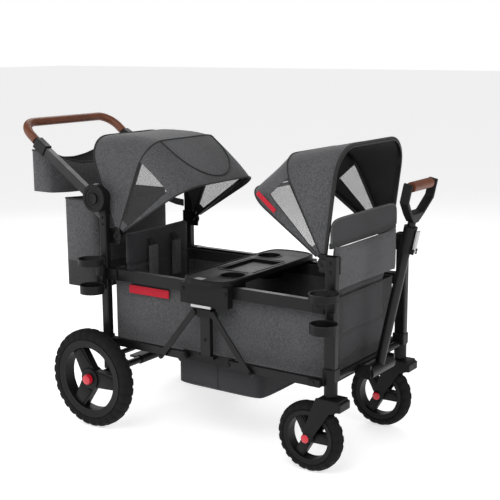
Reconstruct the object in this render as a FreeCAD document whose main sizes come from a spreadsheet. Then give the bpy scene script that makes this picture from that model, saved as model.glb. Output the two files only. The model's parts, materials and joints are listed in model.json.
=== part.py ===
"""Folding two-seat stroller wagon with a pull handle, as a parametric document.

+X points to the pull-handle end, +Y to the left-hand side, +Z up; the wheels stand on z = 0.
Twin pieces of the two sides are made at -Y and mirrored in the plane y = 0.
"""
import FreeCAD, Part
import math
import os
import re

V = FreeCAD.Vector
doc = FreeCAD.newDocument("stroller_wagon")
sheet = doc.addObject("Spreadsheet::Sheet", "Sizes")

# ---------------------------------------------------------------- driving dimensions (mm, degrees)
DRIVING = {
    "rear_x": -322,          # rear post axis; the rear wheels turn about the same x
    "wheelbase": 855,        # rear post axis to front post axis
    "side_y": 225,           # post axis to the centre plane
    "post_wide": 28, "post_deep": 26, "post_wall": 2, "front_post_wide": 36,
    "rear_post_top": 700, "front_post_top": 655,
    "rail_top_z": 505, "rail_bottom_z": 285, "rail_tall": 36, "rail_low_tall": 24,
    "rail_thick": 20, "rail_low_thick": 17, "rail_low_step": 24, "ear": 4,
    "pivot_gap": 42,         # post axis to the rail pivot on it
    "centre_half": 85,       # centre plane of the centre frame to its rail pivots
    "pin_r": 5, "fit": 0.05, "gap": 0.5,
    "rear_tyre_r": 165, "rear_tyre_deep": 33, "rear_tyre_w": 48, "wheel_gap": 81,
    "front_tyre_r": 108, "front_tyre_deep": 24, "front_tyre_w": 44, "caster_trail": 66,
    "axle_tube_r": 12, "axle_r": 6, "front_axle_r": 5,
    "hinge_x": -13, "hinge_z": 755, "hinge_r": 46, "hinge_thick": 24, "button_r": 18,
    "arm_rise": 30, "arm_long": 318, "arm_wide": 30, "arm_thick": 20, "arm_inset": 3,
    "loop_rise": 38, "loop_long": 108, "loop_bend": 62, "grip_r": 15, "loop_r": 11,
    "canopy_pivot_x": 37, "canopy_pivot_z": 628, "canopy_r": 334, "canopy_inset": 19,
    "canopy_bend": 90, "bow_thick": 4.5, "bow_wide": 10, "cloth": 2.5,
    "rear_arch_angle": 110, "rear_mid_angle": 68, "rear_front_angle": 36,
    "front_arch_angle": 97, "front_mid_angle": 63, "front_front_angle": 35,
    "tub_inset": 19, "tub_low": 262, "tub_top": 515, "wall": 3,
    "well_x0": 265, "well_x1": 590, "well_inset": 35, "well_low": 168,
    "seat_deep": 228, "seat_inset": 41, "seat_thick": 34, "back_top": 640, "back_thick": 32,
    "bag_x0": 69, "bag_x1": 221, "bag_inset": 35, "bag_low": 428, "bag_top": 733,
    "cup_out": 57, "cup_r": 43, "cup_wall": 4, "cup_low": 450, "cup_top": 563,
    "tray_x": 180, "tray_over": 49, "tray_z": 525, "tray_thick": 14, "tray_cup_r": 39,
    "tray_cup_x": 36, "tray_cup_y": 158, "tray_cup_deep": 58,
    "shell_x": 180, "shell_low": 460, "shell_top": 524.5, "centre_proud": 37,
    "centre_post_wide": 38, "slider_z": 435, "brace_top_gap": 38, "brace_low_gap": 170,
    "brace_low_z": 272, "brace_thick": 5, "brace_wide": 18,
    "stem_r": 8, "housing_r": 20, "housing_low": 242, "housing_top": 327,
    "fork_in": 25, "fork_out": 31,
    "pull_x": 39, "pull_z": 277, "pull_lean": 12, "barrel_r": 20, "barrel_half": 72,
    "pull_tube_r": 15, "pull_bore_r": 12.3, "collar_s": 374, "collar_top": 454,
    "inner_low": 120, "d_base": 490, "d_top": 580, "d_half": 88, "d_base_half": 42,
    "d_deep": 28, "d_band": 9, "pull_grip_r": 15, "pull_grip_half": 62,
    "latch_s": 384, "latch_long": 62,
}
# Sizes that follow others through a named clearance, as formulas in the same sheet.
LINKED = {
    "rail_low_y": "side_y + rail_low_step",
    "rear_rim_r": "rear_tyre_r - rear_tyre_deep",
    "front_rim_r": "front_tyre_r - front_tyre_deep",
    "rear_wheel_y": "side_y + wheel_gap",
    "arm_end_y": "side_y - arm_inset",
    "canopy_half": "side_y - canopy_inset",
    "tub_y": "side_y - tub_inset",
    "well_y": "side_y - well_inset",
    "seat_half": "side_y - seat_inset",
    "bag_half": "side_y - bag_inset",
    "tray_y": "2 * (side_y + tray_over)",
    "centre_out": "side_y + centre_proud",
}
NAMES = {**DRIVING, **{name: "=" + formula for name, formula in LINKED.items()}}
for row, (name, value) in enumerate(NAMES.items(), start=1):
    sheet.set(f"A{row}", name.replace("_", " "))
    sheet.set(f"B{row}", str(value))
    sheet.setAlias(f"B{row}", name)
doc.recompute()

WORD = re.compile(r"[a-z_][a-z_0-9]*")


def tie(item, prop, text):
    """Bind one property to an expression written with the sheet's names."""
    full = WORD.sub(lambda m: "Sizes." + m.group() if m.group() in NAMES else m.group(), str(text))
    item.setExpression(prop, full)


def size(name):
    return float(getattr(sheet, name))


# ---------------------------------------------------------------- modelling helpers
def block(x0, x1, y0, y1, z0, z1):
    """A box between bound limits."""
    item = doc.addObject("Part::Box", "block")
    for prop, low, high in (("Length", x0, x1), ("Width", y0, y1), ("Height", z0, z1)):
        tie(item, prop, f"({high}) - ({low})")
    for prop, low in (("x", x0), ("y", y0), ("z", z0)):
        tie(item, f"Placement.Base.{prop}", low)
    return item


def rod(axis, radius, a, b, low, high):
    """A cylinder along an axis: a and b are its other two coordinates, in X, Y, Z order."""
    item = doc.addObject("Part::Cylinder", "rod")
    tie(item, "Radius", radius)
    tie(item, "Height", f"({high}) - ({low})")
    turn = {"X": (V(0, 1, 0), 90), "Y": (V(1, 0, 0), -90), "Z": (V(0, 0, 1), 0)}[axis]
    item.Placement = FreeCAD.Placement(V(), FreeCAD.Rotation(*turn))
    where = {"X": (low, a, b), "Y": (a, low, b), "Z": (a, b, low)}[axis]
    for prop, text in zip("xyz", where):
        tie(item, f"Placement.Base.{prop}", text)
    return item


def join(*items):
    """Fuse pieces of one solid."""
    item = doc.addObject("Part::MultiFuse", "join")
    item.Shapes = list(items)
    item.Refine = True
    return item


def cut(base, *tools):
    """Take tools away from a base."""
    tool = tools[0] if len(tools) == 1 else join(*tools)
    item = doc.addObject("Part::Cut", "cut")
    item.Base = base
    item.Tool = tool
    return item


def soften(base, axis, radius):
    """Round the straight edges of a bar that run along one axis."""
    doc.recompute()
    along = {"X": V(1, 0, 0), "Y": V(0, 1, 0), "Z": V(0, 0, 1)}[axis]
    picked = []
    for number, edge in enumerate(base.Shape.Edges, start=1):
        if isinstance(edge.Curve, Part.Line) and abs(edge.Curve.Direction.dot(along)) > 0.999:
            picked.append((number, radius, radius))
    item = doc.addObject("Part::Fillet", "soften")
    item.Base = base
    item.Edges = picked
    return item


def tube_bar(x0, x1, y0, y1, z0, z1, axis, radius):
    """A hollow rounded bar, open at its ends, with the frame's wall."""
    outer = soften(block(x0, x1, y0, y1, z0, z1), axis, radius)
    ends = {"X": (x0, x1), "Y": (y0, y1), "Z": (z0, z1)}
    lows, highs = [], []
    for name, (low, high) in ends.items():
        inset = "0" if name == axis else "post_wall"
        lows.append(f"({low}) + {inset}")
        highs.append(f"({high}) - {inset}")
    inner = block(lows[0], highs[0], lows[1], highs[1], lows[2], highs[2])
    return cut(outer, inner)


def mirrored(item):
    """The same piece on the +Y side."""
    twin = doc.addObject("Part::Mirroring", "twin")
    twin.Source = item
    twin.Normal = V(0, 1, 0)
    twin.Base = V(0, 0, 0)
    return twin


def group(label, *items):
    """One node made of separate solids."""
    node = doc.addObject("Part::Compound", label)
    node.Links = list(items)
    node.Label = label
    NODES.append(node)
    return node


def node(label, item):
    """One node that is a single object."""
    item.Label = label
    NODES.append(item)
    return item


def pair(label, item):
    """One node that holds a piece and its twin."""
    return group(label, item, mirrored(item))


def fixed(name, shape):
    """A shape worked out in code from the sheet's values."""
    item = doc.addObject("Part::Feature", name)
    item.Shape = shape
    return item



NODES = []
REAR = "rear_x"
FRONT = "rear_x + wheelbase"
MID = "rear_x + wheelbase / 2"


# ---------------------------------------------------------------- rear frame
def rear_posts():
    post = tube_bar(f"{REAR} - post_wide / 2", f"{REAR} + post_wide / 2",
                    "-side_y - post_deep / 2", "-side_y + post_deep / 2",
                    "rear_tyre_r + axle_tube_r", "rear_post_top", "Z", 5)
    pair("rear_posts", post)


def rear_cross_tubes():
    """The axle tube with its wheel stubs, and the cross tube above it."""
    stub_end = "rear_wheel_y + rear_tyre_w / 2 - 2"
    tube_end = "rear_wheel_y - rear_tyre_w / 2 - 6"
    axle = join(rod("Y", "axle_tube_r", REAR, "rear_tyre_r", f"-({tube_end})", tube_end),
                rod("Y", "axle_r", REAR, "rear_tyre_r", f"-({stub_end})", stub_end))
    brace = rod("Y", 9, REAR, "rear_tyre_r + 50", "-side_y + post_deep / 2", "side_y - post_deep / 2")
    group("rear_cross_tubes", axle, brace)


def clevis(post_face, pivot, way, rail_y, thick, z, tall):
    """Two ears and a pin on a post's face, for one rail end; way is +1 or -1 along X."""
    room = f"({thick} / 2 + gap)"
    back = f"{post_face} + {way} * 5"
    tip = f"{pivot} + {way} * 15"
    ear_x = (post_face, tip) if way > 0 else (tip, post_face)
    web_x = (post_face, back) if way > 0 else (back, post_face)
    span_z = (f"{z} - {tall} / 2", f"{z} + {tall} / 2")
    outer = block(*ear_x, f"-{rail_y} - {room} - ear", f"-{rail_y} - {room}", *span_z)
    inner = block(*ear_x, f"-{rail_y} + {room}", f"-{rail_y} + {room} + ear", *span_z)
    web = block(*web_x, f"-{rail_y} - {room} - ear", "-side_y + post_deep / 2 - 2", *span_z)
    pin = rod("Y", "pin_r", pivot, z, f"-{rail_y} - {room} - ear - 1", f"-{rail_y} + {room} + ear")
    return join(outer, inner, web, pin)


def rear_post_brackets():
    face = f"{REAR} + post_wide / 2"
    pivot = f"{REAR} + pivot_gap"
    top = clevis(face, pivot, 1, "side_y", "rail_thick", "rail_top_z", "rail_tall")
    low = clevis(face, pivot, 1, "rail_low_y", "rail_low_thick", "rail_bottom_z", "rail_low_tall")
    group("rear_post_brackets", top, mirrored(top), low, mirrored(low))


def rear_hinge_bases():
    """The fixed half of each handle hinge, standing on the post."""
    inner_y, outer_y = "-side_y + post_deep / 2 - 2", "-side_y - post_deep / 2"
    disc = rod("Y", 30, f"{REAR} + hinge_x", "hinge_z", outer_y, inner_y)
    neck = block(f"{REAR} - post_wide / 2", f"{REAR} + post_wide / 2", outer_y, inner_y,
                 "rear_post_top", "hinge_z")
    pin = rod("Y", 7, f"{REAR} + hinge_x", "hinge_z", f"{outer_y} - 9", outer_y)
    pair("rear_hinge_bases", join(disc, neck, pin))


def cup_holder(label, post_x, post_wide, lean):
    """A ring over a shallow cup, on an upright that clamps to the post's outer face."""
    x = f"{post_x} + {lean}"
    face = "-side_y - post_deep / 2"
    y = f"{face} - cup_out"
    low = "cup_low"
    ring = rod("Z", "cup_r", x, y, "cup_top - 18", "cup_top")
    cup = rod("Z", "cup_r - 3", x, y, low, f"{low} + 26")
    upright = block(f"{x} - 12", f"{x} + 12", f"{face} - 22", face, f"{low} + 4", "cup_top")
    plate = block(f"{post_x} - {post_wide} / 2", f"{x} + 12", f"{face} - 8", face,
                  "cup_top - 60", "cup_top - 18")
    room = rod("Z", "cup_r - cup_wall", x, y, f"{low} + 26", "cup_top + 1")
    well = rod("Z", "cup_r - 3 - cup_wall", x, y, f"{low} + cup_wall", f"{low} + 27")
    node(label, cut(join(ring, cup, upright, plate), room, well))


def storage_bag():
    """A pouch that is open at its top, hung by straps from the rear posts."""
    shell = cut(block(f"{REAR} - bag_x1", f"{REAR} - bag_x0", "-bag_half", "bag_half", "bag_low", "bag_top"),
                block(f"{REAR} - bag_x1 + wall", f"{REAR} - bag_x0 - wall", "-bag_half + wall",
                      "bag_half - wall", "bag_low + wall", "bag_top + 1"))
    inner = "side_y - post_deep / 2"
    strap = block(f"{REAR} - bag_x0 - 20", f"{REAR} + 2", f"-({inner})", "-bag_half", "rear_post_top - 35",
                  "rear_post_top - 10")
    node("storage_bag", join(shell, strap, mirrored(strap)))


# ---------------------------------------------------------------- tub and seats
def tub():
    """Fabric walls round the cabin, and a floor with a footwell let into it."""
    x0 = f"{REAR} + pivot_gap + 20"
    x1 = f"{FRONT} - pivot_gap - 20"
    end0 = f"{REAR} + post_wide / 2 + 1"
    end1 = f"{FRONT} - front_post_wide / 2 - 1"
    side = "tub_y - 10"
    outer = join(block(x0, x1, "-tub_y", "tub_y", "tub_low", "tub_top"),
                 block(end0, end1, f"-({side})", side, "tub_low", "tub_top"))
    inner = join(block(f"{x0} + wall", f"{x1} - wall", "-tub_y + wall", "tub_y - wall",
                       "tub_low - 1", "tub_top + 1"),
                 block(f"{end0} + wall", f"{end1} - wall", f"-({side}) + wall", f"{side} - wall",
                       "tub_low - 1", "tub_top + 1"))
    node("tub_walls", cut(outer, inner))
    well = ("rear_x + well_x0", "rear_x + well_x1", "-well_y", "well_y")
    plate = block(end0, end1, f"-({side})", side, "tub_low - wall", "tub_low")
    box = block(*well, "well_low", "tub_low")
    room = block(f"{well[0]} + wall", f"{well[1]} - wall", "-well_y + wall", "well_y - wall",
                 "well_low + wall", "tub_low + 1")
    node("tub_floor", cut(join(plate, box), room))


def seat(label, wall_x, way):
    """A seat cushion and its back cushion; way points from the back to the seat's front edge."""
    def span(near, far):
        a, b = f"{wall_x} + {way} * ({near})", f"{wall_x} + {way} * ({far})"
        return (a, b) if way > 0 else (b, a)
    low = "tub_low + gap"
    base = block(*span("0", "seat_deep"), "-seat_half", "seat_half", low, f"{low} + seat_thick")
    back = block(*span("0", "back_thick"), "-seat_half + 14", "seat_half - 14", low, "back_top")
    node(label, join(base, back))


# ---------------------------------------------------------------- canopies
def hoop_profile(half, reach, bend, foot):
    """A U-shaped outline in the (y, radius) plane, closed at the foot radius."""
    side = reach - bend
    diagonal = bend * (1 - math.sqrt(0.5))
    left = [V(0, -half, foot), V(0, -half, side)]
    corner0 = Part.Arc(left[1], V(0, -half + diagonal, reach - diagonal), V(0, -half + bend, reach)).toShape()
    corner1 = Part.Arc(V(0, half - bend, reach), V(0, half - diagonal, reach - diagonal),
                       V(0, half, side)).toShape()
    edges = [Part.makeLine(left[0], left[1]), corner0,
             Part.makeLine(V(0, -half + bend, reach), V(0, half - bend, reach)), corner1,
             Part.makeLine(V(0, half, side), V(0, half, foot)), Part.makeLine(V(0, half, foot), left[0])]
    return Part.Face(Part.Wire(edges))


def bow_shape(layer, foot_hole):
    """One flat hoop standing up from the pivot line, nested by its layer number."""
    thick = size("bow_thick")
    shift = layer * (thick + size("gap"))
    half, reach = size("canopy_half") - shift, size("canopy_r") - shift
    bend, wide = size("canopy_bend") - shift, size("bow_wide")
    outer = hoop_profile(half, reach, bend, 0).extrude(V(wide, 0, 0))
    inner = hoop_profile(half - thick, reach - thick, bend - thick, -1).extrude(V(wide, 0, 0))
    hoop = outer.cut(inner)
    hoop.translate(V(-wide / 2, 0, 0))
    for way in (-1, 1):
        lug = Part.makeCylinder(wide - 1, thick, V(0, way * half, 0), V(0, -way, 0))
        hoop = hoop.fuse(lug)
    if foot_hole:
        hoop = hoop.cut(Part.makeCylinder(foot_hole, 2 * half + 2, V(0, -half - 1, 0), V(0, 1, 0)))
    return hoop.removeSplitter()


def stand(shape, x, angle, way):
    """Lean a hoop to its angle above the direction it opens to, on its pivot line."""
    lean = (90 - angle) * way
    moved = shape.copy()
    moved.rotate(V(0, 0, 0), V(0, 1, 0), lean)
    moved.translate(V(x, 0, size("canopy_pivot_z")))
    return moved


def canopy(end, post_x, post_wide, way):
    """The fixed arch with its brackets, two bows that swing, and the cloth over them."""
    x = post_x + way * size("canopy_pivot_x")
    thick, gap, z = size("bow_thick"), size("gap"), size("canopy_pivot_z")
    half = size("canopy_half")
    inner = size("side_y") - size("post_deep") / 2
    pin_r = 4
    arch = stand(bow_shape(0, 0), x, size(end + "_arch_angle"), way)
    reach = 3 * (thick + gap)
    for side in (-1, 1):
        near, far = post_x - post_wide / 2, x + 14
        if way < 0:
            near, far = x - 14, post_x + post_wide / 2
        plate = Part.makeBox(far - near, inner - half, 52, V(near, min(side * half, side * inner), z - 26))
        pin = Part.makeCylinder(pin_r, reach, V(x, side * half, z), V(0, -side, 0))
        arch = arch.fuse([plate, pin])
    node(f"{end}_canopy_arch", fixed(f"{end}_arch", arch.removeSplitter()))
    for layer, part in ((1, "mid"), (2, "front")):
        bow = stand(bow_shape(layer, pin_r + size("fit")), x, size(f"{end}_{part}_angle"), way)
        node(f"{end}_canopy_{part}_bow", fixed(f"{end}_{part}_bow_shape", bow))
    node(f"{end}_canopy_cloth", fixed(f"{end}_cloth_shape", cloth_shape(end, x, way)))


def cloth_shape(end, x, way):
    """The canopy's cloth: the hoop's outline swept about the pivot line between arch and front bow."""
    cloth, clear = size("cloth"), 1.0
    half, reach, bend = size("canopy_half") + clear, size("canopy_r") + clear, size("canopy_bend") + clear
    foot = 62
    outer = hoop_profile(half + cloth, reach + cloth, bend + cloth, foot)
    inner = hoop_profile(half, reach, bend, foot - 1)
    skin = outer.cut(inner)
    sweep = size(end + "_arch_angle") - size(end + "_front_angle")
    cloth_solid = skin.Faces[0].revolve(V(0, 0, 0), V(0, 1, 0), sweep * way)
    return stand(cloth_solid, x, size(end + "_arch_angle"), way)


# ---------------------------------------------------------------- rails and centre frame
def rail(post_x, way, rail_y, thick, z, tall):
    """A flat rail from the post's pivot to the centre frame's pivot, with a round end at each."""
    a = f"{post_x} + {way} * pivot_gap"
    b = f"{MID} - {way} * centre_half"
    low, high = (a, b) if way > 0 else (b, a)
    y0, y1 = f"-{rail_y} - {thick} / 2", f"-{rail_y} + {thick} / 2"
    bar = block(low, high, y0, y1, f"{z} - {tall} / 2", f"{z} + {tall} / 2")
    ends = [rod("Y", f"{tall} / 2", x, z, y0, y1) for x in (a, b)]
    bores = [rod("Y", "pin_r + fit", x, z, f"{y0} - 1", f"{y1} + 1") for x in (a, b)]
    room = block(f"{low} + {tall}", f"{high} - {tall}", f"{y0} + post_wall", f"{y1} - post_wall",
                 f"{z} - {tall} / 2 + post_wall", f"{z} + {tall} / 2 - post_wall")
    return cut(join(bar, *ends), *bores, room)


def rails():
    for end, post_x, way in (("rear", REAR, 1), ("front", FRONT, -1)):
        top = rail(post_x, way, "side_y", "rail_thick", "rail_top_z", "rail_tall")
        low = rail(post_x, way, "rail_low_y", "rail_low_thick", "rail_bottom_z", "rail_low_tall")
        pair(f"{end}_top_rails", top)
        pair(f"{end}_bottom_rails", low)


def centre_frame():
    """Per side: a top shell and a bottom plate that carry the rails' pins, with a post between them."""
    out, plate = "-centre_out", "-side_y - rail_thick / 2 - gap - 0.5"
    low_in = "-rail_low_y + rail_low_thick / 2 + gap"
    low_out = "-rail_low_y - rail_low_thick / 2 - gap"
    top_in = "-side_y + rail_thick / 2 + gap"

    def pivots(z, shank, head):
        """The two pins of one level, each with a flat head; shank and head are limits along Y."""
        made = []
        for way in (-1, 1):
            x = f"{MID} + {way} * centre_half"
            made.append(rod("Y", "pin_r", x, z, *shank))
            made.append(rod("Y", 8, x, z, *head))
        return made

    shell = block(f"{MID} - shell_x / 2", f"{MID} + shell_x / 2", out, plate, "shell_low", "shell_top")
    top_pins = pivots("rail_top_z", (plate, f"{top_in} + 2"), (top_in, f"{top_in} + 2.5"))
    pair("centre_top_shells", join(shell, *top_pins))
    foot = block(f"{MID} - centre_half - 14", f"{MID} + centre_half + 14", low_in, f"{low_in} + ear",
                 "rail_bottom_z - 16", "rail_bottom_z + 15")
    shelf = block(f"{MID} - 30", f"{MID} + 30", f"{out} + 4", f"{low_in} + ear",
                  "rail_bottom_z + 5", "rail_bottom_z + 15")
    low_pins = pivots("rail_bottom_z", (f"{low_out} - 2", low_in), (f"{low_out} - 2.5", low_out))
    pair("centre_bottom_brackets", join(foot, shelf, *low_pins))
    post = tube_bar(f"{MID} - centre_post_wide / 2", f"{MID} + centre_post_wide / 2",
                    f"{out} + 4", f"{plate} - 4", "rail_bottom_z + 15", "shell_low", "Z", 3)
    pair("centre_posts", post)
    bar = block(f"{MID} - 47", f"{MID} + 28", f"{out} - 4", f"{out} + 3", "shell_low - 8", "shell_low")
    pair("tray_latch_bars", bar)


def brace_sliders():
    """A collar that rides on each centre post and holds the tops of the two braces."""
    half = "centre_post_wide / 2"
    plate = "-side_y - rail_thick / 2 - gap - 0.5"
    outer = block(f"{MID} - {half} - 6", f"{MID} + {half} + 6", "-centre_out - 1", f"{plate} + 0.2",
                  "slider_z - 14", "slider_z + 12")
    room = block(f"{MID} - {half} - gap", f"{MID} + {half} + gap", "-centre_out + 4 - gap",
                 f"{plate} - 4 + gap", "slider_z - 15", "slider_z + 13")
    lugs = []
    for way in (-1, 1):
        x = f"{MID} + {way} * brace_top_gap"
        lugs.append(rod("Y", 11, x, "slider_z", "-centre_out - 1", "-centre_out + 6"))
        lugs.append(rod("Y", 4, x, "slider_z", "-centre_out - 2 - brace_thick", "-centre_out"))
    arm = block(f"{MID} - brace_top_gap", f"{MID} + brace_top_gap", "-centre_out - 1", "-centre_out + 3.4",
                "slider_z - 9", "slider_z + 9")
    pair("brace_sliders", join(cut(outer, room), *lugs, arm))


def strut_shape(start, end, y0, y1, wide):
    """A flat bar with round ends between two (x, z) points, from y0 to y1."""
    a, b = V(start[0], y0, start[1]), V(end[0], y0, end[1])
    along = (b - a)
    long = along.Length
    bar = Part.makeBox(long, y1 - y0, wide, V(0, y0, -wide / 2))
    for x in (0, long):
        bar = bar.fuse(Part.makeCylinder(wide / 2, y1 - y0, V(x, y0, 0), V(0, 1, 0)))
    bar.rotate(V(0, 0, 0), V(0, 1, 0), -math.degrees(math.atan2(along.z, along.x)))
    bar.translate(V(a.x, 0, a.z))
    return bar.removeSplitter()


def braces():
    mid = size("rear_x") + size("wheelbase") / 2
    y1 = -size("centre_out") - 1 - size("gap")
    y0 = y1 - size("brace_thick")
    rail_face = -size("rail_low_y") - size("rail_low_thick") / 2 - size("gap") - 0.3
    for end, way in (("rear", -1), ("front", 1)):
        top = (mid + way * size("brace_top_gap"), size("slider_z"))
        low = (mid + way * size("brace_low_gap"), size("brace_low_z"))
        bar = strut_shape(top, low, y0, y1, size("brace_wide"))
        rivet = Part.makeCylinder(6, rail_face - y0 + 2, V(low[0], y0 - 2, low[1]), V(0, 1, 0))
        bar = bar.fuse(rivet)
        bar = bar.cut(Part.makeCylinder(4 + size("fit"), 20, V(top[0], y0 - 5, top[1]), V(0, 1, 0)))
        pair(f"{end}_braces", fixed(f"{end}_brace", bar))


def tray():
    """A snack tray over the centre shells, with two deep cup wells on a diagonal."""
    half_x, half_y = "tray_x / 2", "tray_y / 2"
    slab = soften(block(f"{MID} - {half_x}", f"{MID} + {half_x}", f"-{half_y}", half_y,
                        "tray_z", "tray_z + tray_thick"), "Z", 55)
    wells, holes = [], []
    for way in (-1, 1):
        x, y = f"{MID} - {way} * tray_cup_x", f"{way} * tray_cup_y"
        wells.append(rod("Z", "tray_cup_r + 2", x, y, "tray_z - tray_cup_deep", "tray_z"))
        holes.append(rod("Z", "tray_cup_r", x, y, "tray_z - tray_cup_deep + 2", "tray_z + tray_thick + 1"))
    dish = block(f"{MID} - 58", f"{MID} + 58", "-92", "92", "tray_z + 4", "tray_z + tray_thick + 1")
    node("tray", cut(join(slab, *wells), *holes, dish))


# ---------------------------------------------------------------- front frame
def front_posts():
    post = tube_bar(f"{FRONT} - front_post_wide / 2", f"{FRONT} + front_post_wide / 2",
                    "-side_y - post_deep / 2", "-side_y + post_deep / 2",
                    "housing_top", "front_post_top", "Z", 5)
    pair("front_posts", post)


def front_post_brackets():
    face = f"{FRONT} - front_post_wide / 2"
    top = clevis(face, f"{FRONT} - pivot_gap", -1, "side_y", "rail_thick", "rail_top_z", "rail_tall")
    pair("front_post_brackets", top)


def caster_housings():
    """The moulded foot of each front post: the caster's socket, with the low rail's clevis."""
    barrel = rod("Z", "housing_r", FRONT, "-side_y", "housing_low", "housing_top")
    cap = block(f"{FRONT} - front_post_wide / 2 - 2", f"{FRONT} + front_post_wide / 2 + 2",
                "-side_y - post_deep / 2 - 3", "-side_y + housing_r", "housing_top - 36", "housing_top")
    ears = clevis(f"{FRONT} - 17", f"{FRONT} - pivot_gap", -1, "rail_low_y", "rail_low_thick",
                  "rail_bottom_z", "rail_low_tall")
    bore = rod("Z", "stem_r + fit", FRONT, "-side_y", "housing_low - 1", "housing_top - 18")
    pair("caster_housings", cut(join(barrel, cap, ears), bore))


def front_crossbar():
    """The tube between the two feet, with the fork that carries the pull handle's pin."""
    z = "rail_bottom_z + 8"
    inner = "side_y - housing_r"
    bar = rod("Y", 11, FRONT, z, f"-({inner})", inner)
    ears = []
    for way in (-1, 1):
        low, high = ("barrel_half + 1", "barrel_half + 9")
        y0, y1 = (low, high) if way > 0 else (f"-({high})", f"-({low})")
        ears.append(block(FRONT, f"{FRONT} + pull_x + 13", y0, y1, "pull_z - 13", f"{z} + 9"))
    pin = rod("Y", "axle_r", f"{FRONT} + pull_x", "pull_z", "-barrel_half - 11", "barrel_half + 11")
    node("front_crossbar", join(bar, *ears, pin))


# ---------------------------------------------------------------- wheels and casters
def ring_shape(outer, inner, wide, bulge):
    """A tyre: a ring about the Y axis whose tread edges are rounded."""
    half = wide / 2
    pts = [V(inner, -half, 0), V(outer - bulge, -half, 0), V(outer, -half + bulge, 0),
           V(outer, half - bulge, 0), V(outer - bulge, half, 0), V(inner, half, 0)]
    mid0 = V(outer - bulge * 0.29, -half + bulge * 0.29, 0)
    mid1 = V(outer - bulge * 0.29, half - bulge * 0.29, 0)
    edges = [Part.makeLine(pts[0], pts[1]), Part.Arc(pts[1], mid0, pts[2]).toShape(),
             Part.makeLine(pts[2], pts[3]), Part.Arc(pts[3], mid1, pts[4]).toShape(),
             Part.makeLine(pts[4], pts[5]), Part.makeLine(pts[5], pts[0])]
    return Part.Face(Part.Wire(edges)).revolve(V(0, 0, 0), V(0, 1, 0), 360)


def rim_shape(rim_r, band, hub_r, wide, bore, spoke_wide):
    """A rim band and a hub joined by three broad spokes, about the Y axis."""
    def disc(radius, depth):
        return Part.makeCylinder(radius, depth, V(0, -depth / 2, 0), V(0, 1, 0))
    band_ring = disc(rim_r, wide).cut(disc(rim_r - band, wide + 2))
    solid = band_ring.fuse(disc(hub_r, wide * 0.9))
    for turn in range(3):
        a, b = hub_r * 0.6, rim_r - band / 2
        w0, w1 = hub_r * 0.86, spoke_wide / 2
        outline_pts = [V(-w0, 0, a), V(-w1, 0, b), V(w1, 0, b), V(w0, 0, a), V(-w0, 0, a)]
        spoke = Part.Face(Part.makePolygon(outline_pts)).extrude(V(0, wide * 0.6, 0))
        spoke.translate(V(0, -wide * 0.3, 0))
        spoke.rotate(V(0, 0, 0), V(0, 1, 0), 120 * turn + 90)
        solid = solid.fuse(spoke)
    return solid.cut(disc(bore, wide + 60)).removeSplitter()


def wheel(side_name, end, x, y, z):
    """A tyre on its rim; the rear rims carry a round release cap."""
    tyre_r, rim_r, wide = size(end + "_tyre_r"), size(end + "_rim_r"), size(end + "_tyre_w")
    fit = size("fit")
    rear = end == "rear"
    bore = (size("axle_r") if rear else size("front_axle_r")) + fit
    rim = rim_shape(rim_r, 26 if rear else 16, 34 if rear else 19, wide - 6, bore, 46 if rear else 30)
    if rear:
        out = 1 if y > 0 else -1
        start = (wide - 6) * 0.45 + 4.5
        cap = Part.makeCylinder(16.5, 11, V(0, out * start, 0), V(0, out, 0))
        skirt = Part.makeCylinder(16.5, 12, V(0, out * (start - 12), 0), V(0, out, 0))
        skirt = skirt.cut(Part.makeCylinder(bore, 12, V(0, out * (start - 12), 0), V(0, out, 0)))
        rim = rim.fuse([cap, skirt]).removeSplitter()
    tyre = ring_shape(tyre_r, rim_r, wide, 15)
    for part, shape in (("tyre", tyre), ("rim", rim)):
        shape.translate(V(x, y, z))
        node(f"{end}_{side_name}_{part}", fixed(f"{end}_{side_name}_{part}_shape", shape))


def fork(side_name, y):
    """A caster fork: stem, crown and two plates that lean back to the axle."""
    front_x = size("rear_x") + size("wheelbase")
    trail, tyre_r = size("caster_trail"), size("front_tyre_r")
    crown_low, crown_top = 2 * tyre_r + 2, size("housing_low") - 2
    fork_in, fork_out = size("fork_in"), size("fork_out")
    stem_top = size("housing_top") - 20
    shape = Part.makeCylinder(size("stem_r"), stem_top - crown_top + 1, V(0, 0, crown_top - 1))
    collar = Part.makeCylinder(size("housing_r") - 2, 2, V(0, 0, crown_top - 1))
    crown = Part.makeBox(70, 2 * fork_out, crown_top - 1 - crown_low, V(-30, -fork_out, crown_low))
    lip = Part.makeBox(14, 2 * fork_out, 26, V(34, -fork_out, crown_low - 12))
    shape = shape.fuse([collar, crown, lip])
    side_pts = [V(-34, 0, crown_top - 1), V(30, 0, crown_top - 1), V(44, 0, crown_low - 10),
                V(10, 0, crown_low - 22),
                V(-trail + 15, 0, tyre_r - 6), V(-trail, 0, tyre_r - 17), V(-trail - 14, 0, tyre_r - 6),
                V(-trail - 8, 0, tyre_r + 24), V(-34, 0, crown_top - 1)]
    for way in (-1, 1):
        plate = Part.Face(Part.makePolygon(side_pts)).extrude(V(0, fork_out - fork_in, 0))
        plate.translate(V(0, fork_in if way > 0 else -fork_out, 0))
        cap = Part.makeCylinder(14, 5, V(-trail, way * fork_out, tyre_r), V(0, way, 0))
        shape = shape.fuse([plate, cap])
    axle = Part.makeCylinder(size("front_axle_r"), 2 * fork_out, V(-trail, -fork_out, tyre_r), V(0, 1, 0))
    shape = shape.fuse(axle).removeSplitter()
    shape.translate(V(front_x, y, 0))
    node(f"{side_name}_caster_fork", fixed(f"{side_name}_fork_shape", shape))


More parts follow.
